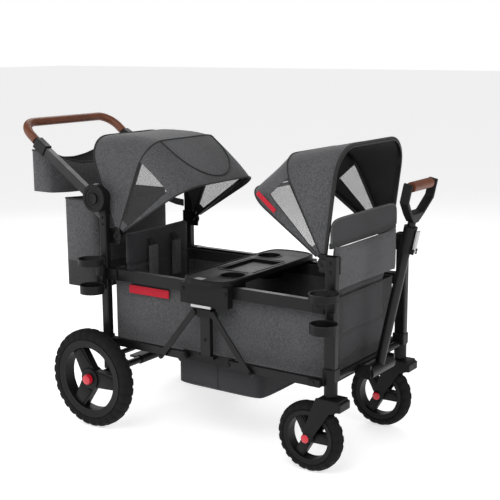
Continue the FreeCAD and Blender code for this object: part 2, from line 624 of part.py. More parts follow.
def brake_pedal():
    """A foot pedal on a sleeve round the axle tube."""
    sleeve = rod("Y", "axle_tube_r + 4", REAR, "rear_tyre_r", -70, 70)
    plate = block(f"{REAR} - axle_tube_r - 46", f"{REAR} - axle_tube_r + 3", -55, 55,
                  "rear_tyre_r - 4", "rear_tyre_r + 3")
    bore = rod("Y", "axle_tube_r + fit", REAR, "rear_tyre_r", -71, 71)
    node("brake_pedal", cut(join(sleeve, plate), bore))


# ---------------------------------------------------------------- push handle
def push_handle():
    """Two arms from the hinges, height clamps, and a looped grip."""
    hinge = V(size("rear_x") + size("hinge_x"), 0, size("hinge_z"))
    face = -size("side_y") - size("post_deep") / 2
    disc_in = face - size("gap")
    disc_out = disc_in - size("hinge_thick")
    disc = Part.makeCylinder(size("hinge_r"), size("hinge_thick"), V(hinge.x, disc_out, hinge.z), V(0, 1, 0))
    button = Part.makeCylinder(size("button_r") + 0.3, 13, V(hinge.x, disc_out, hinge.z), V(0, 1, 0))
    pin_hole = Part.makeCylinder(7 + size("fit"), 10, V(hinge.x, disc_in - 10, hinge.z), V(0, 1, 0))
    pair("handle_hinge_discs", fixed("hinge_disc", disc.cut(button.fuse(pin_hole))))
    for name, way in (("right", -1), ("left", 1)):
        knob = Part.makeCylinder(size("button_r"), 11, V(hinge.x, disc_out - 4, hinge.z), V(0, 1, 0))
        if way > 0:
            knob = knob.mirror(V(0, 0, 0), V(0, 1, 0))
        node(f"{name}_handle_button", fixed(f"{name}_button_shape", knob))
    rise = math.radians(size("arm_rise"))
    back = V(-math.cos(rise), 0, math.sin(rise))
    normal = V(math.sin(rise), 0, math.cos(rise))
    arm_y = (disc_in + disc_out) / 2
    start = hinge + back * (size("hinge_r") - 1) + V(0, arm_y, 0)
    end = hinge + back * size("arm_long")
    end.y = -size("arm_end_y")
    arm = beam(start, end, normal, size("arm_wide"), size("arm_thick"), size("post_wall"))
    root = Part.makeCylinder(size("hinge_r") + 0.01, 60, V(hinge.x, arm_y - 30, hinge.z), V(0, 1, 0))
    pair("handle_arms", fixed("handle_arm", arm.cut(root)))
    way = (end - start).normalize()
    sleeve_start, sleeve_end = end + way * -46, end + way * 12
    sleeve = beam(sleeve_start, sleeve_end, normal, size("arm_wide") + 8, size("arm_thick") + 8, 0)
    core = beam(start, end, normal, size("arm_wide"), size("arm_thick"), 0)
    bend_rise = math.radians(size("loop_rise"))
    out = V(-math.cos(bend_rise), 0, math.sin(bend_rise))
    long, bend, half = size("loop_long"), size("loop_bend"), size("arm_end_y")
    base = V(end.x, 0, end.z)

    def loop(radius, foot, half_width):
        """A round bar bent to a U in the loop's plane."""
        pts = [base + out * foot + V(0, -half_width, 0), base + out * (long - bend) + V(0, -half_width, 0),
               base + out * long + V(0, -half_width + bend, 0)]
        knee = base + out * (long - bend * 0.2929) + V(0, -half_width + bend * 0.2929, 0)
        other = [V(p.x, -p.y, p.z) for p in pts]
        other_knee = V(knee.x, -knee.y, knee.z)
        path = Part.Wire([Part.makeLine(pts[0], pts[1]), Part.Arc(pts[1], knee, pts[2]).toShape(),
                          Part.makeLine(pts[2], other[2]), Part.Arc(other[2], other_knee, other[1]).toShape(),
                          Part.makeLine(other[1], other[0])])
        circle = Part.Wire(Part.makeCircle(radius, pts[0], out))
        return path.makePipeShell([circle], True, True)

    tube = loop(size("loop_r"), 2, half)
    grip = loop(size("grip_r"), 18, half).cut(tube)
    node("handle_loop", fixed("loop_tube", tube))
    node("handle_grip_sleeve", fixed("loop_grip", grip))
    mouth = loop(size("loop_r") + 0.01, -30, half)
    pair("handle_clamps", fixed("handle_clamp", sleeve.cut(core).cut(mouth)))
    organiser_bag(hinge, back, normal)


def beam(start, end, normal, wide, thick, wall):
    """A straight bar between two points, wide along the normal; wall 0 makes it solid."""
    along = (end - start).normalize()
    across = along.cross(normal).normalize()
    up = across.cross(along).normalize()

    def prism(w, t):
        pts = [start + up * (a * w / 2) + across * (b * t / 2)
               for a, b in ((-1, -1), (1, -1), (1, 1), (-1, 1), (-1, -1))]
        return Part.Face(Part.makePolygon(pts)).extrude(end - start)
    bar = prism(wide, thick)
    if wall:
        bar = bar.cut(prism(wide - 2 * wall, thick - 2 * wall))
    return bar


def organiser_bag(hinge, back, normal):
    """An open pouch that hangs between the arms below the clamps."""
    half = size("arm_end_y") - size("arm_thick") / 2 - 7
    far, deep, wall = size("arm_long") - 42, 148, size("wall")
    x0 = hinge.x + back.x * far
    top = hinge.z + back.z * far - 4
    wide, back_x = 92, x0 - 102
    outer = Part.makeBox(wide, 2 * half, deep, V(back_x, -half, top - deep))
    room = Part.makeBox(wide - 2 * wall, 2 * half - 2 * wall, deep,
                        V(back_x + wall, -half + wall, top - deep + wall))
    node("organiser_bag", fixed("organiser_shape", outer.cut(room)))


# ---------------------------------------------------------------- pull handle
def pull_handle():
    """The pivoting tube, its height collar and latch, and the sliding upper part with the D grip."""
    foot = V(size("rear_x") + size("wheelbase") + size("pull_x"), 0, size("pull_z"))
    lean = size("pull_lean")

    def place(shape):
        moved = shape.copy()
        moved.rotate(V(0, 0, 0), V(0, 1, 0), lean)
        moved.translate(foot)
        return moved.removeSplitter()

    def tube(radius, low, high):
        return Part.makeCylinder(radius, high - low, V(0, 0, low))

    barrel_half, barrel_r = size("barrel_half"), size("barrel_r")
    barrel = Part.makeCylinder(barrel_r, 2 * barrel_half, V(0, -barrel_half, 0), V(0, 1, 0))
    tube_r, bore_r = size("pull_tube_r"), size("pull_bore_r")
    collar_s, collar_top, inner_low = size("collar_s"), size("collar_top"), size("inner_low")
    outer = barrel.fuse(tube(tube_r, 0, collar_s + 10))
    outer = outer.cut(tube(bore_r, barrel_r + 20, collar_s + 11))
    outer = outer.cut(Part.makeCylinder(size("axle_r") + size("fit"), 2 * barrel_half + 2,
                                        V(0, -barrel_half - 1, 0), V(0, 1, 0)))
    node("pull_outer_tube", fixed("pull_outer", place(outer)))
    collar = tube(tube_r + 5, collar_s, collar_top).cut(tube(tube_r, collar_s - 1, collar_s + 10))
    collar = collar.cut(tube(bore_r, collar_s, collar_top + 1))
    latch_s = size("latch_s")
    ear_x = tube_r + 11
    for way in (-1, 1):
        ear = Part.makeBox(14, 3, 16, V(tube_r + 2, way * 11 - 1.5, latch_s - 8))
        collar = collar.fuse(ear.cut(tube(bore_r, latch_s - 20, latch_s + 20)))
    collar = collar.fuse(Part.makeCylinder(2.5, 24, V(ear_x, -12, latch_s), V(0, 1, 0)))
    node("pull_collar", fixed("pull_collar_shape", place(collar)))
    lever = Part.makeBox(5, 18, size("latch_long"), V(ear_x - 2.5, -9, latch_s))
    lever = lever.fuse(Part.makeCylinder(4.5, 18, V(ear_x, -9, latch_s), V(0, 1, 0)))
    lever = lever.cut(Part.makeCylinder(2.5 + size("fit"), 20, V(ear_x, -10, latch_s), V(0, 1, 0)))
    node("pull_latch", fixed("pull_latch_shape", place(lever)))
    inner = tube(bore_r - 0.3, inner_low, size("d_base") - 22)
    inner = inner.cut(tube(bore_r - 2.3, inner_low - 1, size("d_base") - 40))
    node("pull_inner_tube", fixed("pull_inner", place(inner)))
    d_frame, sleeve = d_grip()
    node("pull_d_frame", fixed("pull_d_shape", place(d_frame)))
    node("pull_grip_sleeve", fixed("pull_grip_shape", place(sleeve)))


def d_grip():
    """A D-shaped band with a round bar across its top, and the sleeve on that bar."""
    base, top, half = size("d_base"), size("d_top"), size("d_half")
    low_half, deep, band = size("d_base_half"), size("d_deep"), size("d_band")
    neck_low = base - 22

    def prism(points, depth):
        pts = [V(-depth / 2, y, s) for y, s in points]
        return Part.Face(Part.makePolygon(pts + pts[:1])).extrude(V(depth, 0, 0))

    outer = prism([(-14, neck_low), (14, neck_low), (low_half, base), (half, base + 44), (half, top + 12),
                   (-half, top + 12), (-half, base + 44), (-low_half, base)], deep)
    inner_pts = [(-low_half + 4, base + band), (low_half - 4, base + band), (half - band, base + 50),
                 (half - band, top + 13), (-half + band, top + 13), (-half + band, base + 50)]
    frame = outer.cut(prism(inner_pts, deep + 2))
    bar = Part.makeCylinder(8, 2 * half - 2, V(0, -half + 1, top), V(0, 1, 0))
    cut_half = size("pull_grip_half")
    grip = Part.makeCylinder(size("pull_grip_r"), 2 * cut_half, V(0, -cut_half, top), V(0, 1, 0))
    return frame.fuse(bar), grip.cut(bar)


# ---------------------------------------------------------------- assembly
def build():
    rear_x, front_x = size("rear_x"), size("rear_x") + size("wheelbase")
    rear_posts()
    rear_cross_tubes()
    rear_post_brackets()
    rear_hinge_bases()
    cup_holder("rear_cup_holder", REAR, "post_wide", "0")
    storage_bag()
    tub()
    seat("rear_seat_pad", f"{REAR} + post_wide / 2 + 1 + wall + gap", 1)
    seat("front_seat_pad", f"{FRONT} - front_post_wide / 2 - 1 - wall - gap", -1)
    canopy("rear", rear_x, size("post_wide"), 1)
    canopy("front", front_x, size("front_post_wide"), -1)
    rails()
    centre_frame()
    brace_sliders()
    braces()
    tray()
    front_posts()
    front_post_brackets()
    caster_housings()
    front_crossbar()
    cup_holder("front_cup_holder", FRONT, "front_post_wide", "14")
    wheel_x = front_x - size("caster_trail")
    for side_name, way in (("right", -1), ("left", 1)):
        wheel(side_name, "rear", rear_x, way * size("rear_wheel_y"), size("rear_tyre_r"))
        wheel(side_name, "front", wheel_x, way * size("side_y"), size("front_tyre_r"))
        fork(side_name, way * size("side_y"))
    brake_pedal()
    push_handle()
    pull_handle()


def check_and_write():
    """Refuse a document with a failed object or a bad shape, then write one file per node."""
    doc.recompute()
    for item in doc.Objects:
        if "Invalid" in item.State or "Error" in item.State:
            raise RuntimeError(f"{item.Label} did not build")
    os.makedirs("parts", exist_ok=True)
    for item in NODES:
        shape = item.Shape
        if shape.isNull() or not shape.isValid() or shape.Volume <= 0:
            raise RuntimeError(f"{item.Label} has no valid solid")
        shape.exportStep(os.path.join("parts", item.Label + ".step"))
        box = shape.BoundBox
        print(f"{item.Label:26s} {len(shape.Solids)} {shape.Volume / 1000:9.1f} cm3 "
              f"x {box.XMin:7.1f}..{box.XMax:7.1f} y {box.YMin:7.1f}..{box.YMax:7.1f} "
              f"z {box.ZMin:6.1f}..{box.ZMax:6.1f}")
    print(len(NODES), "nodes")


build()
check_and_write()
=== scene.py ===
# %% [markdown]
# A folding stroller wagon for two children, dressed over a frame that is already built.
# Everything is in metres: +X points to the pull handle, +Z up, and the wheels stand on z = 0.
# We load the frame first and measure it, because every soft piece takes its place from it.

# %% Load the frame
import math
import json
import bpy
import bmesh
from mathutils import Matrix, Vector, noise


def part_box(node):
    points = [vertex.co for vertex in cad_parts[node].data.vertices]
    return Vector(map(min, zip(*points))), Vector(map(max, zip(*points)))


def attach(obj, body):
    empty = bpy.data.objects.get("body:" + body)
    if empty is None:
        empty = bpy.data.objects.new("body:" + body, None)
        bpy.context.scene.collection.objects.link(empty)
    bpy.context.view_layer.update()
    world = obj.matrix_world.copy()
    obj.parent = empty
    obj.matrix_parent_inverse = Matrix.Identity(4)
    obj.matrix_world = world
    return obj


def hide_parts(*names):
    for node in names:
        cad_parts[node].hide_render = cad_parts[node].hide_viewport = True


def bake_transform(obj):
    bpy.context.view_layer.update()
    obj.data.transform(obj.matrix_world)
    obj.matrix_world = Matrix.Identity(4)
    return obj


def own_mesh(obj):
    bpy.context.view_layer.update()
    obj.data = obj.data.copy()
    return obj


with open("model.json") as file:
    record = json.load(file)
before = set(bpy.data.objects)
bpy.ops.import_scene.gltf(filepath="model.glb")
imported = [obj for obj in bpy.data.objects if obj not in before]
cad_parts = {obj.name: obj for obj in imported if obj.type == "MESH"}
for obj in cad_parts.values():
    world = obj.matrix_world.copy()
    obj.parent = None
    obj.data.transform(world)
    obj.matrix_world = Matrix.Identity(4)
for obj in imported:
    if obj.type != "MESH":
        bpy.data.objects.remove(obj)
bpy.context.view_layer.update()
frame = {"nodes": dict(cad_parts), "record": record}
REAR_POST, FRONT_POST = -0.322, 0.533
MIDDLE = (REAR_POST + FRONT_POST) / 2

# %% [markdown]
# Shader nodes are easier to read when one small helper adds a node and fills its sockets.
# A socket that gets another socket is linked, and one that gets a number just keeps it.

# %% Node helper
def put(tree, kind, settings=None, **values):
    """Add a node; settings are its options, values its sockets (spaces written as _)."""
    item = tree.nodes.new("ShaderNode" + kind)
    for key, value in (settings or {}).items():
        setattr(item, key, value)
    for key, value in values.items():
        plain = key.replace("_", " ")
        socket = item.inputs[int(key[1:])] if key[1:].isdigit() else item.inputs[plain]
        if isinstance(value, bpy.types.NodeSocket):
            tree.links.new(value, socket)
        else:
            socket.default_value = value
    return item

# %% [markdown]
# The camera stands to the right of the wagon and a little above it. A long lens keeps the wheels
# round. The floor is pale and very wide, and the light comes from large soft panels, since a black
# product only shows its form by what it reflects.

# %% Camera, floor and lights
def aim(item, place, target, roll=0.0):
    """Put a lamp or camera at a place and point it at a target."""
    item.location = place
    turn = (Vector(target) - Vector(place)).to_track_quat("-Z", "Y").to_matrix()
    item.rotation_euler = (turn @ Matrix.Rotation(math.radians(roll), 3, "Z")).to_euler()
    bpy.context.scene.collection.objects.link(item)


lens = bpy.data.cameras.new("view_camera")
lens.lens = 74.3
camera = bpy.data.objects.new("view_camera", lens)
aim(camera, (1.94685, -2.70431, 1.24835), (0.0989, -0.0004, 0.5884), roll=-0.265)
bpy.context.scene.camera = camera

for name, place, size, power in (("key", (0.6, -2.6, 3.0), 2.4, 70), ("side", (3.2, -0.6, 1.7), 1.8, 34),
                                 ("back", (-2.2, 2.2, 2.6), 2.2, 55), ("left", (-2.6, -1.8, 1.4), 1.6, 20)):
    lamp = bpy.data.lights.new(name + "_panel", "AREA")
    lamp.size = size
    lamp.energy = power
    aim(bpy.data.objects.new(name + "_panel", lamp), place, (0.1, 0, 0.5))

sky = bpy.data.worlds.new("studio")
sky.use_nodes = True
sky.node_tree.nodes["Background"].inputs["Color"].default_value = (1, 1, 1, 1)
seen = put(sky.node_tree, "LightPath").outputs["Is Camera Ray"]
level = put(sky.node_tree, "MapRange", Value=seen, To_Min=0.34, To_Max=1.0).outputs["Result"]
sky.node_tree.links.new(level, sky.node_tree.nodes["Background"].inputs["Strength"])
bpy.context.scene.world = sky
bpy.context.scene.view_settings.view_transform = "Standard"
print("camera and", len(bpy.data.lights), "panels")

# %% [markdown]
# A group is built once and used by many materials. This helper makes an empty one with named sockets.

# %% Group helper
def new_group(name, inputs, outputs):
    """An empty node group with named sockets; returns its tree, its inputs and its output node."""
    tree = bpy.data.node_groups.new(name, "ShaderNodeTree")
    for key, (kind, value) in inputs.items():
        socket = tree.interface.new_socket(key, in_out="INPUT", socket_type="NodeSocket" + kind)
        socket.default_value = value
    for key, kind in outputs.items():
        tree.interface.new_socket(key, in_out="OUTPUT", socket_type="NodeSocket" + kind)
    return tree, tree.nodes.new("NodeGroupInput").outputs, tree.nodes.new("NodeGroupOutput")

# %% [markdown]
# Melange cloth is woven from yarns of two greys, so it is mottled in short streaks along both
# thread directions. Two stretched noises give the streaks, and fine waves give the thread relief.
# The pattern lives on Object coordinates, so it needs no unwrapping and stays at its real scale.

# %% Cloth group
cloth, given, result = new_group(
    "woven_cloth", {"Dark": ("Color", (0, 0, 0, 1)), "Light": ("Color", (1, 1, 1, 1)), "Threads": ("Float", 900.0)},
    {"Color": "Color", "Height": "Float", "Roughness": "Float"})
place = put(cloth, "TexCoord").outputs["Object"]
streaks = []
for stretch in ((160, 160, 640), (640, 420, 130)):
    spread = put(cloth, "Mapping", Vector=place, Scale=stretch).outputs["Vector"]
    streaks.append(put(cloth, "TexNoise", Vector=spread, Scale=1.0, Detail=2.0).outputs["Fac"])
mottle = put(cloth, "Math", {"operation": "ADD"}, _0=streaks[0], _1=streaks[1]).outputs[0]
cloud = put(cloth, "TexNoise", Vector=place, Scale=9.0, Detail=3.0).outputs["Fac"]
mottle = put(cloth, "Math", {"operation": "MULTIPLY_ADD"}, _0=cloud, _1=0.25, _2=mottle).outputs[0]
mottle = put(cloth, "MapRange", Value=mottle, From_Min=0.85, From_Max=1.4).outputs["Result"]
shade = put(cloth, "Mix", {"data_type": "RGBA"}, _0=mottle, _6=given["Dark"], _7=given["Light"])
weft = put(cloth, "TexWave", {"bands_direction": "Z"}, Vector=place, Scale=given["Threads"], Distortion=1.0)
warp = put(cloth, "TexWave", {"bands_direction": "DIAGONAL"}, Vector=place, Scale=given["Threads"], Distortion=1.0)
threads = put(cloth, "Math", {"operation": "MAXIMUM"}, _0=weft.outputs["Fac"], _1=warp.outputs["Fac"]).outputs[0]
relief = put(cloth, "Math", {"operation": "MULTIPLY_ADD"}, _0=mottle, _1=0.6, _2=threads).outputs[0]
rough = put(cloth, "MapRange", Value=mottle, To_Min=0.82, To_Max=0.95).outputs["Result"]
cloth.links.new(shade.outputs[2], result.inputs["Color"])
cloth.links.new(relief, result.inputs["Height"])
cloth.links.new(rough, result.inputs["Roughness"])
print("cloth group", len(cloth.nodes), "nodes")

# %% [markdown]
# Moulded plastic and painted tube are never one flat black: they have a fine spark-eroded or
# orange-peel grain, slightly uneven gloss, and edges that are polished lighter by hands.
# A Bevel node gives a rounded normal, and where it differs from the true one there is an edge.

# %% Hard surface group
hard, given, result = new_group(
    "hard_surface", {"Color": ("Color", (0, 0, 0, 1)), "Worn": ("Color", (1, 1, 1, 1)), "Grain": ("Float", 900.0),
                     "Gloss": ("Float", 0.4), "Wear": ("Float", 0.3)},
    {"Color": "Color", "Height": "Float", "Roughness": "Float"})
place = put(hard, "TexCoord").outputs["Object"]
grain = put(hard, "TexNoise", Vector=place, Scale=given["Grain"], Detail=2.0).outputs["Fac"]
smear = put(hard, "TexNoise", Vector=place, Scale=14.0, Detail=4.0, Roughness=0.65).outputs["Fac"]
true_normal = put(hard, "NewGeometry").outputs["Normal"]
round_normal = put(hard, "Bevel", {"samples": 4}, Radius=0.0016).outputs["Normal"]
alike = put(hard, "VectorMath", {"operation": "DOT_PRODUCT"}, _0=round_normal, _1=true_normal).outputs["Value"]
edge = put(hard, "MapRange", Value=alike, From_Min=0.99, From_Max=0.80).outputs["Result"]
edge = put(hard, "Math", {"operation": "MULTIPLY"}, _0=edge, _1=smear).outputs[0]
edge = put(hard, "Math", {"operation": "MULTIPLY"}, _0=edge, _1=given["Wear"]).outputs[0]
shade = put(hard, "Mix", {"data_type": "RGBA"}, _0=edge, _6=given["Color"], _7=given["Worn"])
uneven = put(hard, "MapRange", Value=smear, From_Min=0.3, From_Max=0.7, To_Min=-0.07, To_Max=0.09).outputs["Result"]
rough = put(hard, "Math", {"operation": "ADD"}, _0=uneven, _1=given["Gloss"]).outputs[0]
hard.links.new(shade.outputs[2], result.inputs["Color"])
hard.links.new(grain, result.inputs["Height"])
hard.links.new(rough, result.inputs["Roughness"])
print("hard surface group", len(hard.nodes), "nodes")

# %% [markdown]
# Each finish is one material: a Principled shader fed by a group, with a Bump node for relief.

# %% Finishes from the groups
def new_material(name):
    """An empty material; returns it, its node tree and its Principled shader's inputs."""
    made = bpy.data.materials.new(name)
    made.use_nodes = True
    return made, made.node_tree, made.node_tree.nodes["Principled BSDF"].inputs


def finish(name, tree, relief, sheen=0.0, metal=0.0, coat=0.0, shine=0.5, **values):
    """A material: one group into a Principled shader, with a bump of the given depth."""
    made, tree_used, shader = new_material(name)
    source = tree_used.nodes.new("ShaderNodeGroup")
    source.node_tree = tree
    for key, value in values.items():
        source.inputs[key].default_value = value
    bump = put(tree_used, "Bump", Height=source.outputs["Height"], Strength=0.6, Distance=relief)
    for key, socket in (("Base Color", source.outputs["Color"]), ("Roughness", source.outputs["Roughness"]),
                        ("Normal", bump.outputs["Normal"])):
        tree_used.links.new(socket, shader[key])
    shader["Sheen Weight"].default_value = sheen
    shader["Metallic"].default_value = metal
    shader["Coat Weight"].default_value = coat
    shader["Specular IOR Level"].default_value = shine
    return made


def tint(value, blue=1.0):
    """A grey, with its blue raised a little if wanted."""
    return (value, value, value * blue, 1)


GREY = finish("melange_grey", cloth, 0.0005, sheen=0.12, Dark=tint(0.020, 1.05), Light=tint(0.098, 1.07))
BLACK_CLOTH = finish("black_cloth", cloth, 0.0005, sheen=0.1, Dark=tint(0.005), Light=tint(0.016))
DARK_LINING = finish("seat_cloth", cloth, 0.0005, sheen=0.1, Dark=tint(0.010, 1.15), Light=tint(0.028, 1.15))
WEBBING = finish("black_webbing", cloth, 0.0008, Dark=tint(0.006), Light=tint(0.014), Threads=420.0)
RED_TAG = finish("red_woven_tag", cloth, 0.0003, Dark=(0.34, 0.003, 0.014, 1), Light=(0.55, 0.008, 0.028, 1))
PAINT = finish("satin_black_paint", hard, 0.00004, shine=0.26, Color=tint(0.004), Worn=tint(0.04), Grain=500.0,
               Gloss=0.36)
PLASTIC = finish("grained_black_plastic", hard, 0.00012, shine=0.2, Color=tint(0.0045), Worn=tint(0.045),
                 Grain=1400.0, Gloss=0.47)
SILVER = finish("brushed_silver", hard, 0.00006, metal=0.9, Color=tint(0.5), Worn=tint(0.8), Gloss=0.34)
RUBBER = finish("tyre_rubber", hard, 0.0003, shine=0.16, Color=tint(0.005), Worn=tint(0.02), Grain=700.0, Gloss=0.74)
RED_CAP = finish("red_cap_plastic", hard, 0.00004, coat=0.4, Color=(0.55, 0.004, 0.02, 1),
                 Worn=(0.7, 0.1, 0.1, 1), Gloss=0.28)
TAB_GREY = finish("grey_tab_plastic", hard, 0.00008, Color=tint(0.30), Worn=tint(0.5), Gloss=0.42)
print(len(bpy.data.materials), "finishes")

# %% [markdown]
# Leather needs cells and creases rather than threads. Voronoi distance makes the pebbles, and a
# broad noise darkens the hide unevenly, as handling does.

# %% Leather
leather, tree, shader = new_material("brown_leather")
place = put(tree, "TexCoord").outputs["Object"]
cells = put(tree, "TexVoronoi", {"feature": "DISTANCE_TO_EDGE"}, Vector=place, Scale=420.0).outputs["Distance"]
hide = put(tree, "TexNoise", Vector=place, Scale=22.0, Detail=5.0).outputs["Fac"]
brown = put(tree, "Mix", {"data_type": "RGBA"}, _0=hide, _6=(0.055, 0.013, 0.004, 1), _7=(0.20, 0.055, 0.017, 1))
tree.links.new(brown.outputs[2], shader["Base Color"])
rough = put(tree, "MapRange", Value=hide, To_Min=0.36, To_Max=0.56).outputs["Result"]
tree.links.new(rough, shader["Roughness"])
bump = put(tree, "Bump", Height=cells, Strength=0.5, Distance=0.0004)
tree.links.new(bump.outputs["Normal"], shader["Normal"])

# %% [markdown]
# The side windows are open net. Crossed waves cut the holes in its Alpha, so light passes
# through it and what stands behind shows, as through the real net.

# %% Net
net, tree, shader = new_material("window_net")
place = put(tree, "TexCoord").outputs["Object"]
bars = [put(tree, "TexWave", {"bands_direction": way}, Vector=place, Scale=160.0).outputs["Fac"] for way in "XZ"]
knit = put(tree, "Math", {"operation": "MAXIMUM"}, _0=bars[0], _1=bars[1]).outputs[0]
solid = put(tree, "MapRange", Value=knit, From_Min=0.86, From_Max=0.93).outputs["Result"]
tree.links.new(solid, shader["Alpha"])
shade = put(tree, "Mix", {"data_type": "RGBA"}, _0=knit, _6=tint(0.01), _7=tint(0.04))
tree.links.new(shade.outputs[2], shader["Base Color"])
shader["Roughness"].default_value = 0.8

floor_finish = finish("pale_floor", hard, 0.00002, Color=(0.7, 0.7, 0.7, 1), Worn=(0.7, 0.7, 0.7, 1), Gloss=0.7,
                      Wear=0.0)
print(len(bpy.data.materials), "finishes in all")

# %% [markdown]
# The frame's own pieces keep their shape and only get a finish, chosen by the slot that each
# one names.

# %% Dress the frame
BY_SLOT = {"frame_black": PAINT, "black_plastic": PLASTIC, "silver_metal": SILVER, "tyre_rubber": RUBBER,
           "red_plastic": RED_CAP, "leather_brown": leather, "fabric_grey": GREY, "fabric_black": BLACK_CLOTH}
slot_of = {part["node"]: part["material_slot"] for part in frame["record"]["subparts"]}
for name, item in frame["nodes"].items():
    for holder in item.material_slots:
        holder.material = BY_SLOT[slot_of[name]]
    if not item.material_slots:
        item.data.materials.append(BY_SLOT[slot_of[name]])
print(len(slot_of), "frame pieces dressed")

# %% [markdown]
# New pieces start as a bmesh. These helpers turn one into an object, and make the three starting
# shapes used most: a box with soft edges, a turned profile and a tube along a line.

# %% Piece helpers
def piece(name, shape, finishes, body=None, angle=40):
    """Turn a bmesh into an object that rides on a body."""
    mesh = bpy.data.meshes.new(name)
    shape.to_mesh(mesh)
    shape.free()
    for made in finishes:
        mesh.materials.append(made)
    mesh.shade_smooth()
    mesh.set_sharp_from_angle(angle=math.radians(angle))
    item = bpy.data.objects.new(name, mesh)
    bpy.context.scene.collection.objects.link(item)
    if body:
        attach(item, body)
    return item


def block(shape, low, high):
    """A plain box between two corners; returns its edges."""
    place = Matrix.Translation((low + high) / 2) @ Matrix.Diagonal((*(high - low), 1))
    made = bmesh.ops.create_cube(shape, size=1, matrix=place)["verts"]
    return list({edge for vert in made for edge in vert.link_edges})


def soft_box(shape, low, high, radius, segments=3):
    """A box between two corners with rounded edges."""
    edges = block(shape, Vector(low), Vector(high))
    bmesh.ops.bevel(shape, geom=edges, offset=radius, segments=segments, profile=0.5, affect="EDGES", material=-1)


def turned(shape, profile, centre, axis="Y", steps=48):
    """Spin a profile of (radius, height) round an axis through a centre."""
    spin = {"X": Vector((1, 0, 0)), "Y": Vector((0, 1, 0)), "Z": Vector((0, 0, 1))}[axis]
    out = Vector((0, 0, 1)) if axis != "Z" else Vector((1, 0, 0))
    row = [shape.verts.new(Vector(centre) + out * radius + spin * height) for radius, height in profile]
    edges = [shape.edges.new(pair) for pair in zip(row, row[1:])]
    before = set(shape.faces)
    bmesh.ops.spin(shape, geom=row + edges, cent=centre, axis=spin, angle=math.tau, steps=steps, use_merge=True)
    verts = list({vert for face in shape.faces if face not in before for vert in face.verts})
    bmesh.ops.remove_doubles(shape, verts=verts, dist=1e-6)
    bmesh.ops.recalc_face_normals(shape, faces=[face for face in shape.faces if face not in before])


def add_tube(shape, points, radius, closed=False, sides=3):
    """Bend a round tube through points and add it to a bmesh."""
    curve = bpy.data.curves.new("line", "CURVE")
    curve.dimensions = "3D"
    curve.bevel_depth = radius
    curve.bevel_resolution = sides
    curve.resolution_u = 4
    curve.use_fill_caps = not closed
    line = curve.splines.new("NURBS")
    line.points.add(len(points) - 1)
    for knot, point in zip(line.points, points):
        knot.co = (*point, 1)
    line.order_u = 3
    line.use_endpoint_u = not closed
    line.use_cyclic_u = closed
    holder = bpy.data.objects.new("line", curve)
    mesh = bpy.data.meshes.new_from_object(holder)
    shape.from_mesh(mesh)
    bpy.data.objects.remove(holder)
    bpy.data.curves.remove(curve)
    bpy.data.meshes.remove(mesh)


floor = bmesh.new()
bmesh.ops.create_grid(floor, x_segments=1, y_segments=1, size=40, matrix=Matrix.Translation((0, 0, -0.0005)))
shader = floor_finish.node_tree.nodes["Principled BSDF"].inputs
shader["Emission Color"].default_value = (1, 1, 1, 1)
shader["Emission Strength"].default_value = 0.62
piece("floor", floor, [floor_finish])
print("helpers ready")

# %% [markdown]
# A canopy is cloth stretched over three U-shaped bows that fan out from one pivot. So its
# shape is one bow outline spun about that pivot. Between bows the cloth is pulled
# straight, which we get by letting it sag towards the pivot. The sides hold a net window.

# %% Canopy sheets
PIVOT_Z, REACH, HALF, BEND = 0.628, 0.3363, 0.2082, 0.090
# For each canopy: its pivot along X, the way it opens, and the angles of its arch, middle and front bow.
CANOPIES = {"rear": (REAR_POST + 0.037, 1, (110, 68, 32)), "front": (FRONT_POST - 0.037, -1, (97, 63, 35))}
# How many degrees of plain cloth lie between the front bow and the net window.
LIP = {"rear": 6, "front": 10}


def bow_outline():
    """The (radius, y) points of a bow, from the right foot over the top to the left foot."""
    side = [(radius, -HALF) for radius in (0.030, 0.060, 0.085, 0.11, 0.14, 0.17, 0.205, 0.236)]
    turn = [(REACH - BEND + BEND * math.sin(a), -HALF + BEND - BEND * math.cos(a))
            for a in (math.radians(15 * k) for k in range(7))]
    top = [(REACH, -HALF + BEND + (HALF - BEND) * k / 5) for k in range(1, 5)]
    right = side + turn + top
    return right + [(REACH, 0.0)] + [(radius, -y) for radius, y in reversed(right)]


def on_canopy(end, degrees, radius, y, proud=0.0):
    """A point of a canopy, by its angle about the pivot."""
    x0, way, _ = CANOPIES[end]
    turn = math.radians(degrees)
    reach = radius + proud
    return Vector((x0 + way * reach * math.cos(turn), y, PIVOT_Z + reach * math.sin(turn)))


def slack(end, degrees, radius):
    """How far the cloth sags between two bows at an angle."""
    bows = CANOPIES[end][2]
    for high, low in zip(bows, bows[1:]):
        if low <= degrees <= high:
            share = (high - degrees) / (high - low)
            return 0.011 * math.sin(math.pi * share) * min(1.0, radius / REACH) ** 2
    return 0.0


def relax(shape, end):
    """Let every point of a canopy piece sag, with faint puckers near the bows."""
    x0, way, _ = CANOPIES[end]
    for vert in shape.verts:
        flat = Vector((vert.co.x - x0, 0, vert.co.z - PIVOT_Z))
        degrees = math.degrees(math.atan2(flat.z, flat.x * way))
        sag = slack(end, degrees, flat.length)
        ripple = noise.noise(vert.co * 11) * 0.0016 + noise.noise(vert.co * 32) * 0.0005
        vert.co -= flat.normalized() * (sag + ripple + 0.001)
        vert.co.y *= 1 - 0.35 * sag


